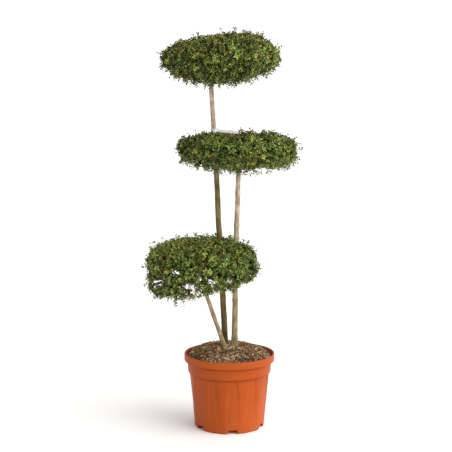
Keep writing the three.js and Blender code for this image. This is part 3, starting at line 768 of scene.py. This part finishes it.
def make_pot():
    places = len(RIB_LIFTS)
    columns = []
    for rib in range(RIBS):
        columns += [pot_column(rib, -1, place) for place in range(places - 1, 0, -1)]
        columns += [pot_column(rib, 1, place) for place in range(places - 1)]
    angle, radius, height = np.moveaxis(np.array(columns), -1, 0)
    turn = np.radians(angle)
    sway = OUT_OF_ROUND * np.clip(height / POT_HEIGHT, 0, 1) ** 2
    waves = sum(strength * np.sin(count * turn + start) for strength, count, start in RIM_WAVES)
    points = polar(radius + sway * (waves - RIM_SHRINK), turn, height)
    faces = capped_faces(points.shape[1], points.shape[0])
    points = points.transpose(1, 0, 2).reshape(-1, 3)
    piece("pot_shell", points, faces, "pot", [pot_plastic()], sharp=38)


# Potting mix

def mound_height(x, y):
    """Height of the potting mix, which sinks from its level middle to the wall, and less so at the back."""
    radius = np.hypot(x, y)
    far = np.maximum(radius, 1)
    dip = np.maximum(0, (SOIL_DIP_WAY[0] * x + SOIL_DIP_WAY[1] * y) / far) ** SOIL_DIP_FOCUS
    heap = SOIL_BACK_HEAP * np.maximum(0, y / far) - SOIL_RIGHT_DIP * dip
    places = [0, SOIL_LEVEL_RADIUS, (SOIL_LEVEL_RADIUS + BAND_RADIUS) / 2, SOIL_RADIUS]
    level = SOIL_TOP - np.interp(radius, places, [0, 0, SOIL_EDGE_DROP / 3, SOIL_EDGE_DROP])
    return level + heap * np.interp(radius, places, [0, 0, SOIL_HEAP_MIDWAY, 1])


def make_mound():
    columns, rings, hole = 120, 44, 3
    turns = full_turn(columns)
    mound = polar(np.linspace(SOIL_RADIUS, hole, rings)[:, None], turns, 0.0)
    rough = sum(height * noise(mound, size, seed) for height, size, seed in MOUND_BUMPS)
    top = mound_height(mound[..., 0], mound[..., 1])
    mound[..., 2] = np.minimum(top - CHIP_BED + rough, top + MOUND_PROUD)
    foot = polar(BAND_RADIUS - BAND_TAPER - WALL - SOIL_GAP, turns, SOIL_TOP - SOIL_DEPTH)
    points = np.concatenate([foot[None], mound])
    piece("soil_mound", points.reshape(-1, 3), capped_faces(rings + 1, columns), "soil", [compost()])


BOX_CORNERS = np.array([(x, y, z) for z in (-1, 1) for y in (-1, 1) for x in (-1, 1)], float)
BOX_FACES = np.array([(0, 2, 3, 1), (4, 5, 7, 6), (0, 1, 5, 4), (2, 6, 7, 3), (0, 4, 6, 2), (1, 3, 7, 5)])


def make_chips(kind, count, spans, random, materials):
    """Rough flakes of bark, strewn over the mound at all turns and a little tilted."""
    size = np.stack([random.uniform(*span, count) for span in spans], axis=-1) / 2
    radius = (CHIP_REACH - size[:, 0]) * np.sqrt(random.random(count))
    middle = polar(radius, 2 * np.pi * random.random(count), 0.0)
    top = mound_height(middle[:, 0], middle[:, 1])
    middle[:, 2] = top - CHIP_BED + random.uniform(0, CHIP_RISE, count) - CHIP_SINK
    clear = clear_of_stems(middle + (0, 0, CHIP_TEST_LIFT), CHIP_CLEARANCE)
    tilt = np.minimum(CHIP_TILT, CHIP_END_LIFT / size[:, 0]) * random.normal(0, CHIP_TILT_SPREAD, (2, count))
    yaw = 2 * np.pi * random.random(count)
    first = unit(np.stack([np.cos(yaw), np.sin(yaw), tilt[0]], axis=-1))
    third = across(first, polar(tilt[1], yaw, 1.0))
    axes = np.stack([first, np.cross(third, first), third], axis=1)
    jitter = 1 + random.uniform(*CHIP_STRAY, (count, *BOX_CORNERS.shape))
    corners = BOX_CORNERS * size[:, None] * jitter
    points = (middle[:, None] + np.einsum("nck,nkx->ncx", corners, axes))[clear]
    count = len(points)
    faces = (len(BOX_CORNERS) * np.arange(count)[:, None, None] + BOX_FACES).reshape(-1, 4)
    patch = noise(middle[clear], CHIP_PATCH, CHIP_PATCH_SEED) + CHIP_MIXING * random.normal(size=count)
    order = (np.argsort(np.argsort(patch)) + 0.5) / count
    limits = np.cumsum([share for _, share in CHIP_SHADES.values()])
    shades = np.repeat(np.searchsorted(limits[:-1], order), len(BOX_FACES))
    piece("soil_" + kind, points.reshape(-1, 3), [faces], "soil", materials, shades, sharp=30)


def make_soil():
    make_mound()
    random = np.random.default_rng(CHIP_SEED)
    materials = []
    for name, (colour, _) in CHIP_SHADES.items():
        materials.append(new_material("chip_" + name, colour, roughness=0.85, specular=0.3)[0])
    for kind, (count, *spans) in CHIPS.items():
        make_chips(kind, count, spans, random, materials)


# Stems

def curve_points(path, shares):
    """Points on the smooth line through a path, as in the part's source: a centripetal Catmull-Rom curve."""
    path = np.asarray(path, float)
    padded = np.concatenate([[2 * path[0] - path[1]], path, [2 * path[-1] - path[-2]]])
    place = np.clip(shares, 0, 1) * (len(path) - 1)
    span = np.minimum(place.astype(int), len(path) - 2)
    weight = (place - span)[:, None]
    corners = [padded[span + shift] for shift in range(4)]
    p0, p1, p2, p3 = corners
    d0, d1, d2 = (np.linalg.norm(b - a, axis=-1, keepdims=True) ** 0.5 for a, b in zip(corners, corners[1:]))
    start = ((p1 - p0) / d0 - (p2 - p0) / (d0 + d1) + (p2 - p1) / d1) * d1
    end = ((p2 - p1) / d1 - (p3 - p1) / (d1 + d2) + (p3 - p2) / d2) * d1
    square = -3 * p1 + 3 * p2 - 2 * start - end
    cube = 2 * p1 - 2 * p2 + start + end
    return p1 + weight * (start + weight * (square + weight * cube))


def stem_radius(stem, shares, heights):
    base, tip = stem["radius"]
    flare = ROOT_FLARE * np.exp(-FLARE_FADE * (heights - SOIL_TOP) / FLARE_HEIGHT)
    return (base + (tip - base) * shares) * (1 + np.minimum(flare, ROOT_FLARE))


for stem in STEMS.values():
    stem_shares = np.linspace(0, 1, STEM_SAMPLES)
    stem["line"] = curve_points(stem["path"], stem_shares)
    stem["line_radius"] = stem_radius(stem, stem_shares, stem["line"][:, 2])


def clear_of_stems(points, room):
    """True where a point is clear of every stem."""
    heights = points[..., 2]
    clear = np.ones(heights.shape, bool)
    for stem in STEMS.values():
        line = stem["line"]
        values = (line[:, 0], line[:, 1], stem["line_radius"])
        x, y, radius = (np.interp(heights, line[:, 2], value) for value in values)
        near = np.hypot(points[..., 0] - x, points[..., 1] - y) < radius + room
        clear &= ~(near & (heights < line[-1, 2] + room))
    return clear


def bark_relief(stem, run, turn, radius, random):
    """How far the bark stands out: ridges along the stem, the rings of old leaf nodes, and knots."""
    around = np.stack([radius * np.cos(turn), radius * np.sin(turn)], axis=-1)
    relief = np.zeros_like(run)
    for step, (size, stretch, height) in enumerate(BARK_RIDGES):
        spots = np.concatenate([around, run[..., None] / stretch], axis=-1)
        relief += height * noise(spots, size, stem["seed"] + step)
    length = run.max()
    place, face = random.uniform(*FIRST_NODE), random.uniform(0, np.pi)
    while place < length:
        ring = np.exp(-(((run - place) / NODE_SPAN) ** 2))
        pair = np.exp(SCAR_FOCUS * (np.abs(np.cos(turn - face)) - 1))
        relief += ring * (NODE_RELIEF + SCAR_RELIEF * pair)
        place += random.uniform(*NODE_GAPS)
        face += np.pi / 2
    for _ in range(round(KNOTS_PER_METRE * length * MM)):
        place, face = random.uniform(KNOT_START, length), random.uniform(-np.pi, np.pi)
        aside = radius * ((turn - face + np.pi) % (2 * np.pi) - np.pi)
        apart = np.hypot((run - place) / KNOT_STRETCH, aside)
        swelling = np.exp(-((apart / KNOT_SPAN) ** 2))
        dimple = np.exp(-((apart / (DIMPLE_SPAN * KNOT_SPAN)) ** 2))
        relief += KNOT_RELIEF * (swelling - DIMPLE_DEPTH * dimple)
    return relief


def make_stem(name, stem):
    random = np.random.default_rng(stem["seed"])
    line = stem["line"]
    steps = np.concatenate([[0], np.cumsum(np.linalg.norm(np.diff(line, axis=0), axis=1))])
    rows = int(steps[-1] / BARK_ROW)
    run = np.linspace(0, steps[-1], rows)
    shares = np.interp(run, steps, np.linspace(0, 1, len(steps)))
    middle = curve_points(stem["path"], shares)
    steady = np.clip(run / STEM_STEADY, 0, 1) * np.clip((steps[-1] - run) / STEM_STEADY, 0, 1)
    for axis, (size, step) in enumerate(STEM_BENDS):
        spots = np.zeros((rows, 3))
        spots[:, axis] = run
        middle[:, axis] += STEM_SWAY * noise(spots, size, stem["seed"] + step) * steady
    radius = np.interp(run, steps, stem["line_radius"])
    middle = np.concatenate([middle[:1] - (0, 0, STEM_SINK), middle])
    radius = np.concatenate([radius[:1] * FOOT_SWELL, radius])
    run = np.concatenate([[-STEM_SINK], run])
    shape = (rows + 1, BARK_COLUMNS)
    grids = (run[:, None], full_turn(BARK_COLUMNS), radius[:, None])
    run, turn, girth = (np.broadcast_to(grid, shape) for grid in grids)
    flare = np.exp(-np.maximum(run, 0) / LOBE_FADE)
    lobes = 1 + LOBE_DEPTH * flare * np.cos(FLARE_LOBES * turn + stem["seed"])
    reach = girth * lobes + bark_relief(stem, run, turn, girth, random)
    points = middle[:, None] + np.stack([reach * np.cos(turn), reach * np.sin(turn), 0 * turn], axis=-1)
    faces = capped_faces(*shape)
    piece(name + "_bark", points.reshape(-1, 3), faces, name, [bark(name + "_bark", stem["bark"])])


# Outline of a cloud

def reach_of(cloud, ways):
    """How far a cloud's outline is from its centre along unit vectors, as in the part's source."""
    up = ways[:, 2] > 0
    height, tilt, power = (np.where(up, above, below) for above, below in zip(cloud["rise"], cloud["drop"]))
    height = height * (1 + tilt * ways[:, 0])
    flat = np.hypot(ways[:, 0] / cloud["half_width"], ways[:, 1] / cloud["half_depth"])
    along = np.abs(ways[:, 2]) / height
    waves = np.sin(LUMP_WAVES * ways + cloud["lump_turn"] * np.array([1, 2, 3]))
    return (1 + LUMP * waves.mean(axis=1)) / (flat**power + along**power) ** (1 / power)


def level(cloud, points):
    """Below 1 inside a cloud's outline."""
    offset = points - cloud["centre"]
    return np.linalg.norm(offset, axis=1) / reach_of(cloud, unit(offset))


def outward(cloud, points):
    """The way out of a cloud, square to its outline."""
    step = 2
    slopes = [level(cloud, points + step * axis) - level(cloud, points - step * axis) for axis in np.eye(3)]
    return unit(np.stack(slopes, axis=-1))


NEIGHBOURS = [(i, j, k) for i in (-1, 0, 1) for j in (-1, 0, 1) for k in (-1, 0, 1)]


def spread_tips(cloud, kind, tries):
    """Points spread evenly over a cloud's outline, no two closer than the spacing."""
    spacing = kind["spacing"]
    draw = seeded(cloud["seed"] + kind["seed"])
    draws = np.array([(draw(), draw()) for _ in range(tries)])
    height, turn = 2 * draws[:, 0] - 1, 2 * np.pi * draws[:, 1]
    flat = np.sqrt(1 - height**2)
    ways = np.stack([flat * np.cos(turn), flat * np.sin(turn), height], axis=-1)
    ways = unit(ways * (cloud["half_width"], cloud["half_depth"], cloud["rise"][0]))
    spots = ways * reach_of(cloud, ways)[:, None] + cloud["centre"]
    cells = {}
    kept_spots = []
    for spot, cell in zip(spots.tolist(), np.floor(spots / spacing).astype(int).tolist()):
        around = [(cell[0] + i, cell[1] + j, cell[2] + k) for i, j, k in NEIGHBOURS]
        near = (other for key in around for other in cells.get(key, ()))
        if all(math.dist(spot, other) > spacing for other in near):
            cells.setdefault(tuple(cell), []).append(spot)
            kept_spots.append(spot)
    return np.array(kept_spots)


def bare_share(cloud, points, out):
    """How much of the foliage is missing: more of it low on the cloud, and most where that faces down."""
    heights, shares = zip(*cloud["bare"])
    side = (points[:, 0] - cloud["centre"][0]) / cloud["half_width"]
    ends = cloud["bare_ends"]
    bare = np.interp(points[:, 2], heights, shares) * np.interp(side, BARE_ENDS, (ends, 1, 1, ends))
    below = np.interp(-out[:, 2], UNDERSIDE_FACING, (0, cloud["bare_underside"]))
    return np.maximum(bare, below)


def open_spots(cloud, points, out, random):
    """True where the foliage has a gap, in patches."""
    fine = noise(points, GAP_SIZE / FINE_GAP_RATIO, cloud["seed"] + FINE_GAP_SEED)
    patch = noise(points, GAP_SIZE, cloud["seed"]) + FINE_GAPS * fine
    order = np.argsort(np.argsort(patch + GAP_MIXING * random.normal(size=len(points)))) / len(points)
    return order < bare_share(cloud, points, out)


def hides_sky(cloud, points):
    """True where a leaf would close a speck of the sky that the camera sees through a cloud."""
    eye = np.array(CAMERA_PLACE, float)
    nearness = (cloud["centre"][1] - eye[1]) / (points[:, 1] - eye[1])
    seen = (eye + (points - eye) * nearness[:, None]) * (1, 0, 1)
    openness = np.zeros(len(points))
    for x, z, half_width, half_height in cloud["sky"]:
        apart = np.hypot((seen[:, 0] - x) / half_width, (seen[:, 2] - z) / half_height)
        openness = np.maximum(openness, np.interp(apart, SKY_EDGE, (SKY_SHARE, 0)))
    return noise(seen, SPECK_SIZE, cloud["seed"] + SPECK_SEED) < 2 * openness - 1


# Limbs, each a dict of arrays with one row a limb

def kept(rows, keep):
    return {key: value[keep] for key, value in rows.items()}


def along_limbs(limbs, shares):
    """Points and unit ways at shares of limbs that each bend from root over knee to tip."""
    root, knee, tip = (limbs[key][:, None] for key in ("root", "knee", "tip"))
    t = np.asarray(shares, float)[..., None]
    points = (1 - t) ** 2 * root + 2 * t * (1 - t) * knee + t**2 * tip
    ways = unit((1 - t) * (knee - root) + t * (tip - knee))
    return points, ways


def limb_length(limbs):
    lower, upper = limbs["knee"] - limbs["root"], limbs["tip"] - limbs["knee"]
    return np.linalg.norm(lower, axis=1) + np.linalg.norm(upper, axis=1)


def own_stem(cloud):
    """The limb that carries on from the bough's tip towards the cloud's centre."""
    start = STEMS[cloud["bough"]]["line"][-1]
    end = start + OWN_STEM_REACH * (cloud["centre"] - start)
    return {"root": start[None], "knee": (start + end)[None] / 2, "tip": end[None]}


def first_boughs(cloud, ends):
    """Boughs that leave the cloud's own stem, the lower ones lower down."""
    share = np.clip((ends[:, 2] - ends[:, 2].min()) / np.ptp(ends[:, 2]), *BOUGH_ROOTS)
    root = along_limbs(own_stem(cloud), share[None])[0][0]
    gap = ends - root
    knee = root + gap / 2
    knee[:, 2] += BOUGH_ARCH * np.linalg.norm(gap, axis=1)
    return {"root": root, "knee": knee, "tip": ends}


def side_limbs(parents, ends):
    """Limbs that leave the nearest parent some way back from its tip and bend out to their own ends."""
    apart = np.linalg.norm(ends[:, None] - parents["tip"][None], axis=-1)
    chosen = kept(parents, apart.argmin(axis=1))
    back = FORK_BACK * apart.min(axis=1) + FORK_ROOM
    share = np.clip(1 - back / limb_length(chosen), *FORK_PLACES)
    root, way = (item[:, 0] for item in along_limbs(chosen, share[:, None]))
    knee = root + KNEE_REACH * np.linalg.norm(ends - root, axis=1)[:, None] * way
    return {"root": root, "knee": knee, "tip": ends}


def clear_limbs(limbs, room):
    """Drops limbs that would touch a stem."""
    spots = along_limbs(limbs, CLEAR_PLACES[None])[0]
    return kept(limbs, clear_of_stems(spots, room).all(axis=1))


def grow_limbs(cloud, parents, kind):
    """Limbs of one kind, from their parents or the cloud's own stem to ends spread under its outline."""
    tips = spread_tips(cloud, kind, SOURCE_TRIES)
    ends = tips - kind["depth"] * outward(cloud, tips)
    limbs = side_limbs(parents, ends) if parents else first_boughs(cloud, ends)
    return clear_limbs(limbs, LIMB_CLEARANCE)


def grow_sprigs(name, cloud, twigs, random):
    """Sprigs up to the clipped surface, in tufts, and shoots that have grown out past it."""
    tips = spread_tips(cloud, SPRIGS, FINE_TRIES)
    tips = tips[~open_spots(cloud, tips, outward(cloud, tips), random)]
    out = outward(cloud, tips)
    hollow = np.clip(TUFT_CREST - noise(tips, TUFT_SIZE, cloud["seed"] + TUFT_SEED), 0, TUFT_HOLLOW)
    depth = SPRIGS["depth"] + TUFT_DEPTH * hollow + random.uniform(0, SPRIG_UNEVENNESS, len(tips))
    shoot_share = np.interp(out[:, 2], HANG_FACING, (cloud["hanging"], SHOOT_SHARE))
    shoot = random.random(len(tips)) < shoot_share
    depth = np.where(shoot, -random.uniform(*SHOOT_REACH, len(tips)), depth)
    ends = tips - depth[:, None] * out + random.normal(0, SPRIG_STRAY, tips.shape)
    sprigs = clear_limbs({**side_limbs(twigs, ends), "shoot": shoot, "out": out}, SPRIG_CLEARANCE)
    if name == TAG_CLOUD:
        sprigs = kept(sprigs, clear_of_tag(sprigs["tip"]))
    return sprigs


def limb_tubes(limbs, kind):
    rings, sides = kind["mesh"]
    centres = along_limbs(limbs, np.linspace(0, 1, rings)[None])[0]
    taper = np.linspace(*kind["radius"], rings)
    return tubes(centres, np.broadcast_to(taper, centres.shape[:2]), sides)


# Leaves, a dict of arrays with one row a leaf

def leaf_pairs(limbs, rule, spray_tone, random):
    """Crossed pairs of leaves down each limb, from its tip."""
    count, pairs = shape = (len(limbs["tip"]), len(rule["sizes"]))
    back = rule["gap"] * (np.arange(pairs) + random.uniform(-PAIR_STRAY, PAIR_STRAY, shape)) + TIP_STALK
    share = 1 - back / limb_length(limbs)[:, None]
    spots, stalks = along_limbs(limbs, np.clip(share, ROOT_BARE, 1))
    guide = random.normal(size=(count, 1, 3))
    first = across(stalks, np.broadcast_to(guide, stalks.shape))
    crossed = (np.arange(pairs) % 2 == 1)[None, :, None]
    side = np.where(crossed, np.cross(stalks, first), first)
    parts = []
    for sign in (-1, 1):
        lean = np.radians(random.normal(0, LEAN_SPREAD, shape) + rule["leans"])[..., None]
        way = np.cos(lean) * stalks + sign * np.sin(lean) * side
        way = unit(way + random.normal(0, WAY_SPREAD, way.shape))
        normal = across(way, stalks + random.normal(0, FACING_SPREAD, way.shape))
        length = LEAF_LENGTH * np.asarray(rule["sizes"]) * random.uniform(*LENGTH_SPREAD, shape)
        tone = spray_tone[:, None] + rule["tones"] + random.normal(0, LEAF_SPREAD, shape)
        spray = np.broadcast_to(np.arange(count)[:, None], shape)
        part = {"base": spots, "way": way, "normal": normal, "length": length, "tone": tone}
        parts.append({**part, "spray": spray, "share": share})
    leaves = {}
    for key in parts[0]:
        values = np.concatenate([part[key].reshape(count * pairs, -1) for part in parts])
        leaves[key] = values if values.shape[1] == 3 else values[:, 0]
    return kept(leaves, leaves["share"] > ROOT_BARE)


def outer_leaves(cloud, sprigs, random):
    """Leaves on the sprigs, coloured by spray."""
    tips, out = sprigs["tip"], sprigs["out"]
    # Painted light: sprays that face the way of the cloud's painted_light_side get a lighter tone.
    tone = SPRAY_TONE + SPRAY_SPREAD * random.normal(size=len(tips)) + out @ cloud["painted_light_side"]
    tone += np.where(sprigs["shoot"], SHOOT_TONE, 0)
    # Painted light: leaves are lighter where the foliage is thin.
    tone += THIN_PAINTED_LIGHT * bare_share(cloud, tips, out)
    patch_seed, mixing_seed = (cloud["seed"] + step for step in HUE_SEEDS)
    hue = noise(tips, HUE_PATCH, patch_seed) + HUE_MIXING * noise(tips, SPRIGS["spacing"], mixing_seed)
    # Painted shade: sprays facing left, away from the light, are more often olive.
    hue += out @ OLIVE_PAINTED_SHADE_WAY
    olive = hue > np.quantile(hue, 1 - cloud["olive"])
    leaves = leaf_pairs(sprigs, SPRIG_PAIRS, tone, random)
    leaves["olive"] = olive[leaves["spray"]]
    leaves["bronze"] = random.random(len(leaves["tone"])) < BRONZE_SHARE
    leaves["shoot"] = sprigs["shoot"][leaves["spray"]]
    return leaves


def inner_leaves(cloud, twigs, random):
    """Larger old leaves on the twigs, which are bare where the cloud is open."""
    bare = bare_share(cloud, twigs["tip"], outward(cloud, twigs["tip"]))
    leafy = random.random(len(bare)) > INNER_BARE * bare
    # Painted light: the inner leaves too are lighter where the foliage is thin.
    tone = INNER_TONE + THIN_PAINTED_LIGHT * bare[leafy] + INNER_SPREAD * random.normal(size=leafy.sum())
    leaves = leaf_pairs(kept(twigs, leafy), TWIG_PAIRS, tone, random)
    none = np.zeros(len(leaves["tone"]), bool)
    # Painted shade: the inner leaves, deep in the cloud, all take the olive tint.
    return {**leaves, "olive": ~none, "bronze": none, "shoot": none}


def fitting_leaves(name, cloud, leaves, random):
    """Drops leaves that stand out too far, touch a stem or the tag, or close a gap."""
    points = leaves["base"] + leaves["length"][:, None] * leaves["way"]
    middles = (points + leaves["base"]) / 2
    proud = (level(cloud, points) - 1) * np.linalg.norm(points - cloud["centre"], axis=1)
    fits = proud < LEAF_SLACK + SHOOT_REACH[1] * leaves["shoot"]
    fits &= clear_of_stems(points, LEAF_CLEARANCE) & clear_of_stems(middles, LEAF_CLEARANCE)
    fits &= ~hides_sky(cloud, middles)
    thin = LEAF_THINNING * bare_share(cloud, points, outward(cloud, points))
    fits &= (random.random(len(thin)) > thin) | leaves["shoot"]
    if name == TAG_CLOUD:
        fits &= clear_of_tag(points) & clear_of_tag(leaves["base"])
    return kept(leaves, fits)


def leaf_mesh(leaves):
    """Leaves of six faces round a point on the midrib: base, two shoulders a side, and tip."""
    base, way, normal = (leaves[key] for key in ("base", "way", "normal"))
    length, width, curl = (leaves[key][:, None] for key in ("length", "width", "curl"))
    side = np.cross(normal, way)
    points = []
    for along, out, folded in LEAF_CORNERS:
        lift = folded * LEAF_FOLD * width - curl * along**2 * length
        points.append(base + along * length * way + out * width * side + lift * normal)
    points = np.stack(points, axis=1)
    faces = (len(LEAF_CORNERS) * np.arange(len(base))[:, None, None] + LEAF_FAN).reshape(-1, 3)
    return points.reshape(-1, 3), faces


# Clouds

def make_wood(name, cloud, boughs, branches, twigs, sprigs, materials):
    radius = STEMS[cloud["bough"]]["radius"][1]
    own = {"radius": (radius, radius * (1 - OWN_STEM_TAPER)), "mesh": OWN_STEM_MESH}
    kinds = {
        "boughs": [(own_stem(cloud), own), (boughs, BOUGHS), (branches, BRANCHES)],
        "twigs": [(twigs, TWIGS)],
        "sprigs": [(sprigs, SPRIGS)],
    }
    for kind, parts in kinds.items():
        points, faces = join([limb_tubes(*part) for part in parts])
        piece(f"{name}_{kind}", points, faces, name, [materials[kind]])


def make_leaves(name, leaves, materials, random):
    """Joins old and young leaves apart. A leaf's shade is its tone, and its hue is its spray's."""
    shade = np.clip(np.round(leaves["tone"]), 0, SHADE_NUMBERS["young"]).astype(int)
    shade = np.where(leaves["bronze"], SHADE_NUMBERS["bronze"], shade)
    leaves["width"] = leaves["length"] * LEAF_SHAPE * random.uniform(*WIDTH_SPREAD, len(shade))
    leaves["curl"] = LEAF_CURL * random.normal(1, CURL_SPREAD, len(shade))
    for kind, names in LEAF_KINDS.items():
        numbers = [SHADE_NUMBERS[item] for item in names]
        chosen = np.isin(shade, numbers)
        group = kept(leaves, chosen)
        points, faces = leaf_mesh(group)
        slots = len(HUES) * np.searchsorted(numbers, shade[chosen]) + group["olive"]
        kind_materials = [materials[item, hue] for item in names for hue in HUES]
        piece(f"{name}_{kind}", points, [faces], name, kind_materials, np.repeat(slots, len(LEAF_FAN)))


def make_cloud(name, cloud, leaf_materials, wood_materials):
    random = np.random.default_rng(cloud["seed"])
    boughs = grow_limbs(cloud, None, BOUGHS)
    branches = grow_limbs(cloud, boughs, {**BRANCHES, "spacing": cloud["spacing"]})
    twigs = grow_limbs(cloud, branches, TWIGS)
    sprigs = grow_sprigs(name, cloud, twigs, random)
    make_wood(name, cloud, boughs, branches, twigs, sprigs, wood_materials)
    outer = outer_leaves(cloud, sprigs, random)
    inner = inner_leaves(cloud, twigs, random)
    leaves = {key: np.concatenate([outer[key], inner[key]]) for key in outer}
    make_leaves(name, fitting_leaves(name, cloud, leaves, random), leaf_materials, random)


def make_clouds():
    leaf_materials = {}
    for shade, colour in LEAF_SHADES.items():
        for hue, tint in HUES.items():
            made = new_material(f"leaf_{shade}_{hue}", np.array(colour) * tint, LEAF_ROUGHNESS, LEAF_GLOSS)[0]
            leaf_materials[shade, hue] = made
    wood_materials = {
        "boughs": bark("bough_bark", [(400, (0.19, 0.155, 0.095)), (1400, (0.22, 0.18, 0.11))]),
        "twigs": new_material("twig_bark", (0.17, 0.125, 0.068), roughness=0.8, specular=0.3)[0],
        "sprigs": new_material("sprig_bark", (0.24, 0.155, 0.060), roughness=0.7, specular=0.3)[0],
    }
    for name, cloud in CLOUDS.items():
        make_cloud(name, cloud, leaf_materials, wood_materials)


# Plant tag

def tag_frame():
    """The tag's place on the tall stem, the stem's radius there, and the tag's own axes."""
    line = STEMS["tall_stem"]["line"]
    place = np.array([np.interp(TAG_HEIGHT, line[:, 2], line[:, axis]) for axis in range(3)])
    radius = np.interp(TAG_HEIGHT, line[:, 2], STEMS["tall_stem"]["line_radius"])
    return place, radius, turned(2, TAG_TURN) @ turned(1, TAG_SLOPE) @ turned(0, TAG_ROLL)


def clear_of_tag(points):
    """False close to the tag, and where a leaf would stand up in front of it."""
    place, radius, axes = tag_frame()
    past, beside, above = TAG_ROOM
    local = (points - place) @ axes
    along = (local[:, 0] > -TAG_WIDTH) & (local[:, 0] < radius + TAG_LENGTH + past)
    close = (np.abs(local[:, 1]) < beside * TAG_WIDTH) & (np.abs(local[:, 2]) < above * TAG_WIDTH)
    share = (points[:, 0] - place[0]) / (TAG_LENGTH * axes[0, 0])
    lower_edge = place[2] + share * TAG_LENGTH * axes[2, 0] - 0.5 * TAG_WIDTH * axes[2, 1]
    in_front = (share > TAG_VIEW[0]) & (share < TAG_VIEW[1]) & (points[:, 1] < place[1])
    return ~((along & close) | (in_front & (points[:, 2] > lower_edge)))


def make_tag():
    columns, steps = 36, 25
    place, stem_width, axes = tag_frame()
    inner = stem_width + TAG_LOOP_SLACK
    outer = inner + TAG_THICKNESS
    half = TAG_LOOP_WIDTH / 2
    section = [(inner, -half), (outer, -half), (outer, half), (inner, half)]
    loop = np.concatenate([polar(radius, full_turn(columns), height) for radius, height in section]) + place
    loop_faces = grid_faces(len(section) + 1, columns) % len(loop)

    share = np.linspace(0, 1, steps)
    run = inner - TAG_THICKNESS + share * (TAG_LENGTH + TAG_THICKNESS)
    from_end = np.clip((1 - share) * TAG_LENGTH / TAG_END_ROUND, 0, 1)
    rounding = np.maximum(TAG_END_WIDTH, np.sqrt(1 - (1 - from_end) ** 2))
    neck = TAG_NECK_WIDTH + (1 - TAG_NECK_WIDTH) * np.clip(share / TAG_NECK_LENGTH, 0, 1)
    width = TAG_WIDTH / 2 * rounding * neck
    sag = TAG_SAG * np.sin(np.pi * share)
    thick = TAG_THICKNESS / 2
    corners = [(-1, -thick), (1, -thick), (1, thick), (-1, thick)]
    edges = [np.stack([run, side * width, sag + lift], axis=-1) for side, lift in corners]
    strip = np.stack(edges, axis=1).reshape(-1, 3) @ axes.T + place
    points, faces = join([(loop, [loop_faces]), (strip, capped_faces(steps, len(corners)))])
    piece("tag_strip", points, faces, "stem_tag", [tag_plastic()], sharp=40)


make_stage()
make_pot()
make_soil()
for stem_name, stem in STEMS.items():
    make_stem(stem_name, stem)
make_clouds()
make_tag()
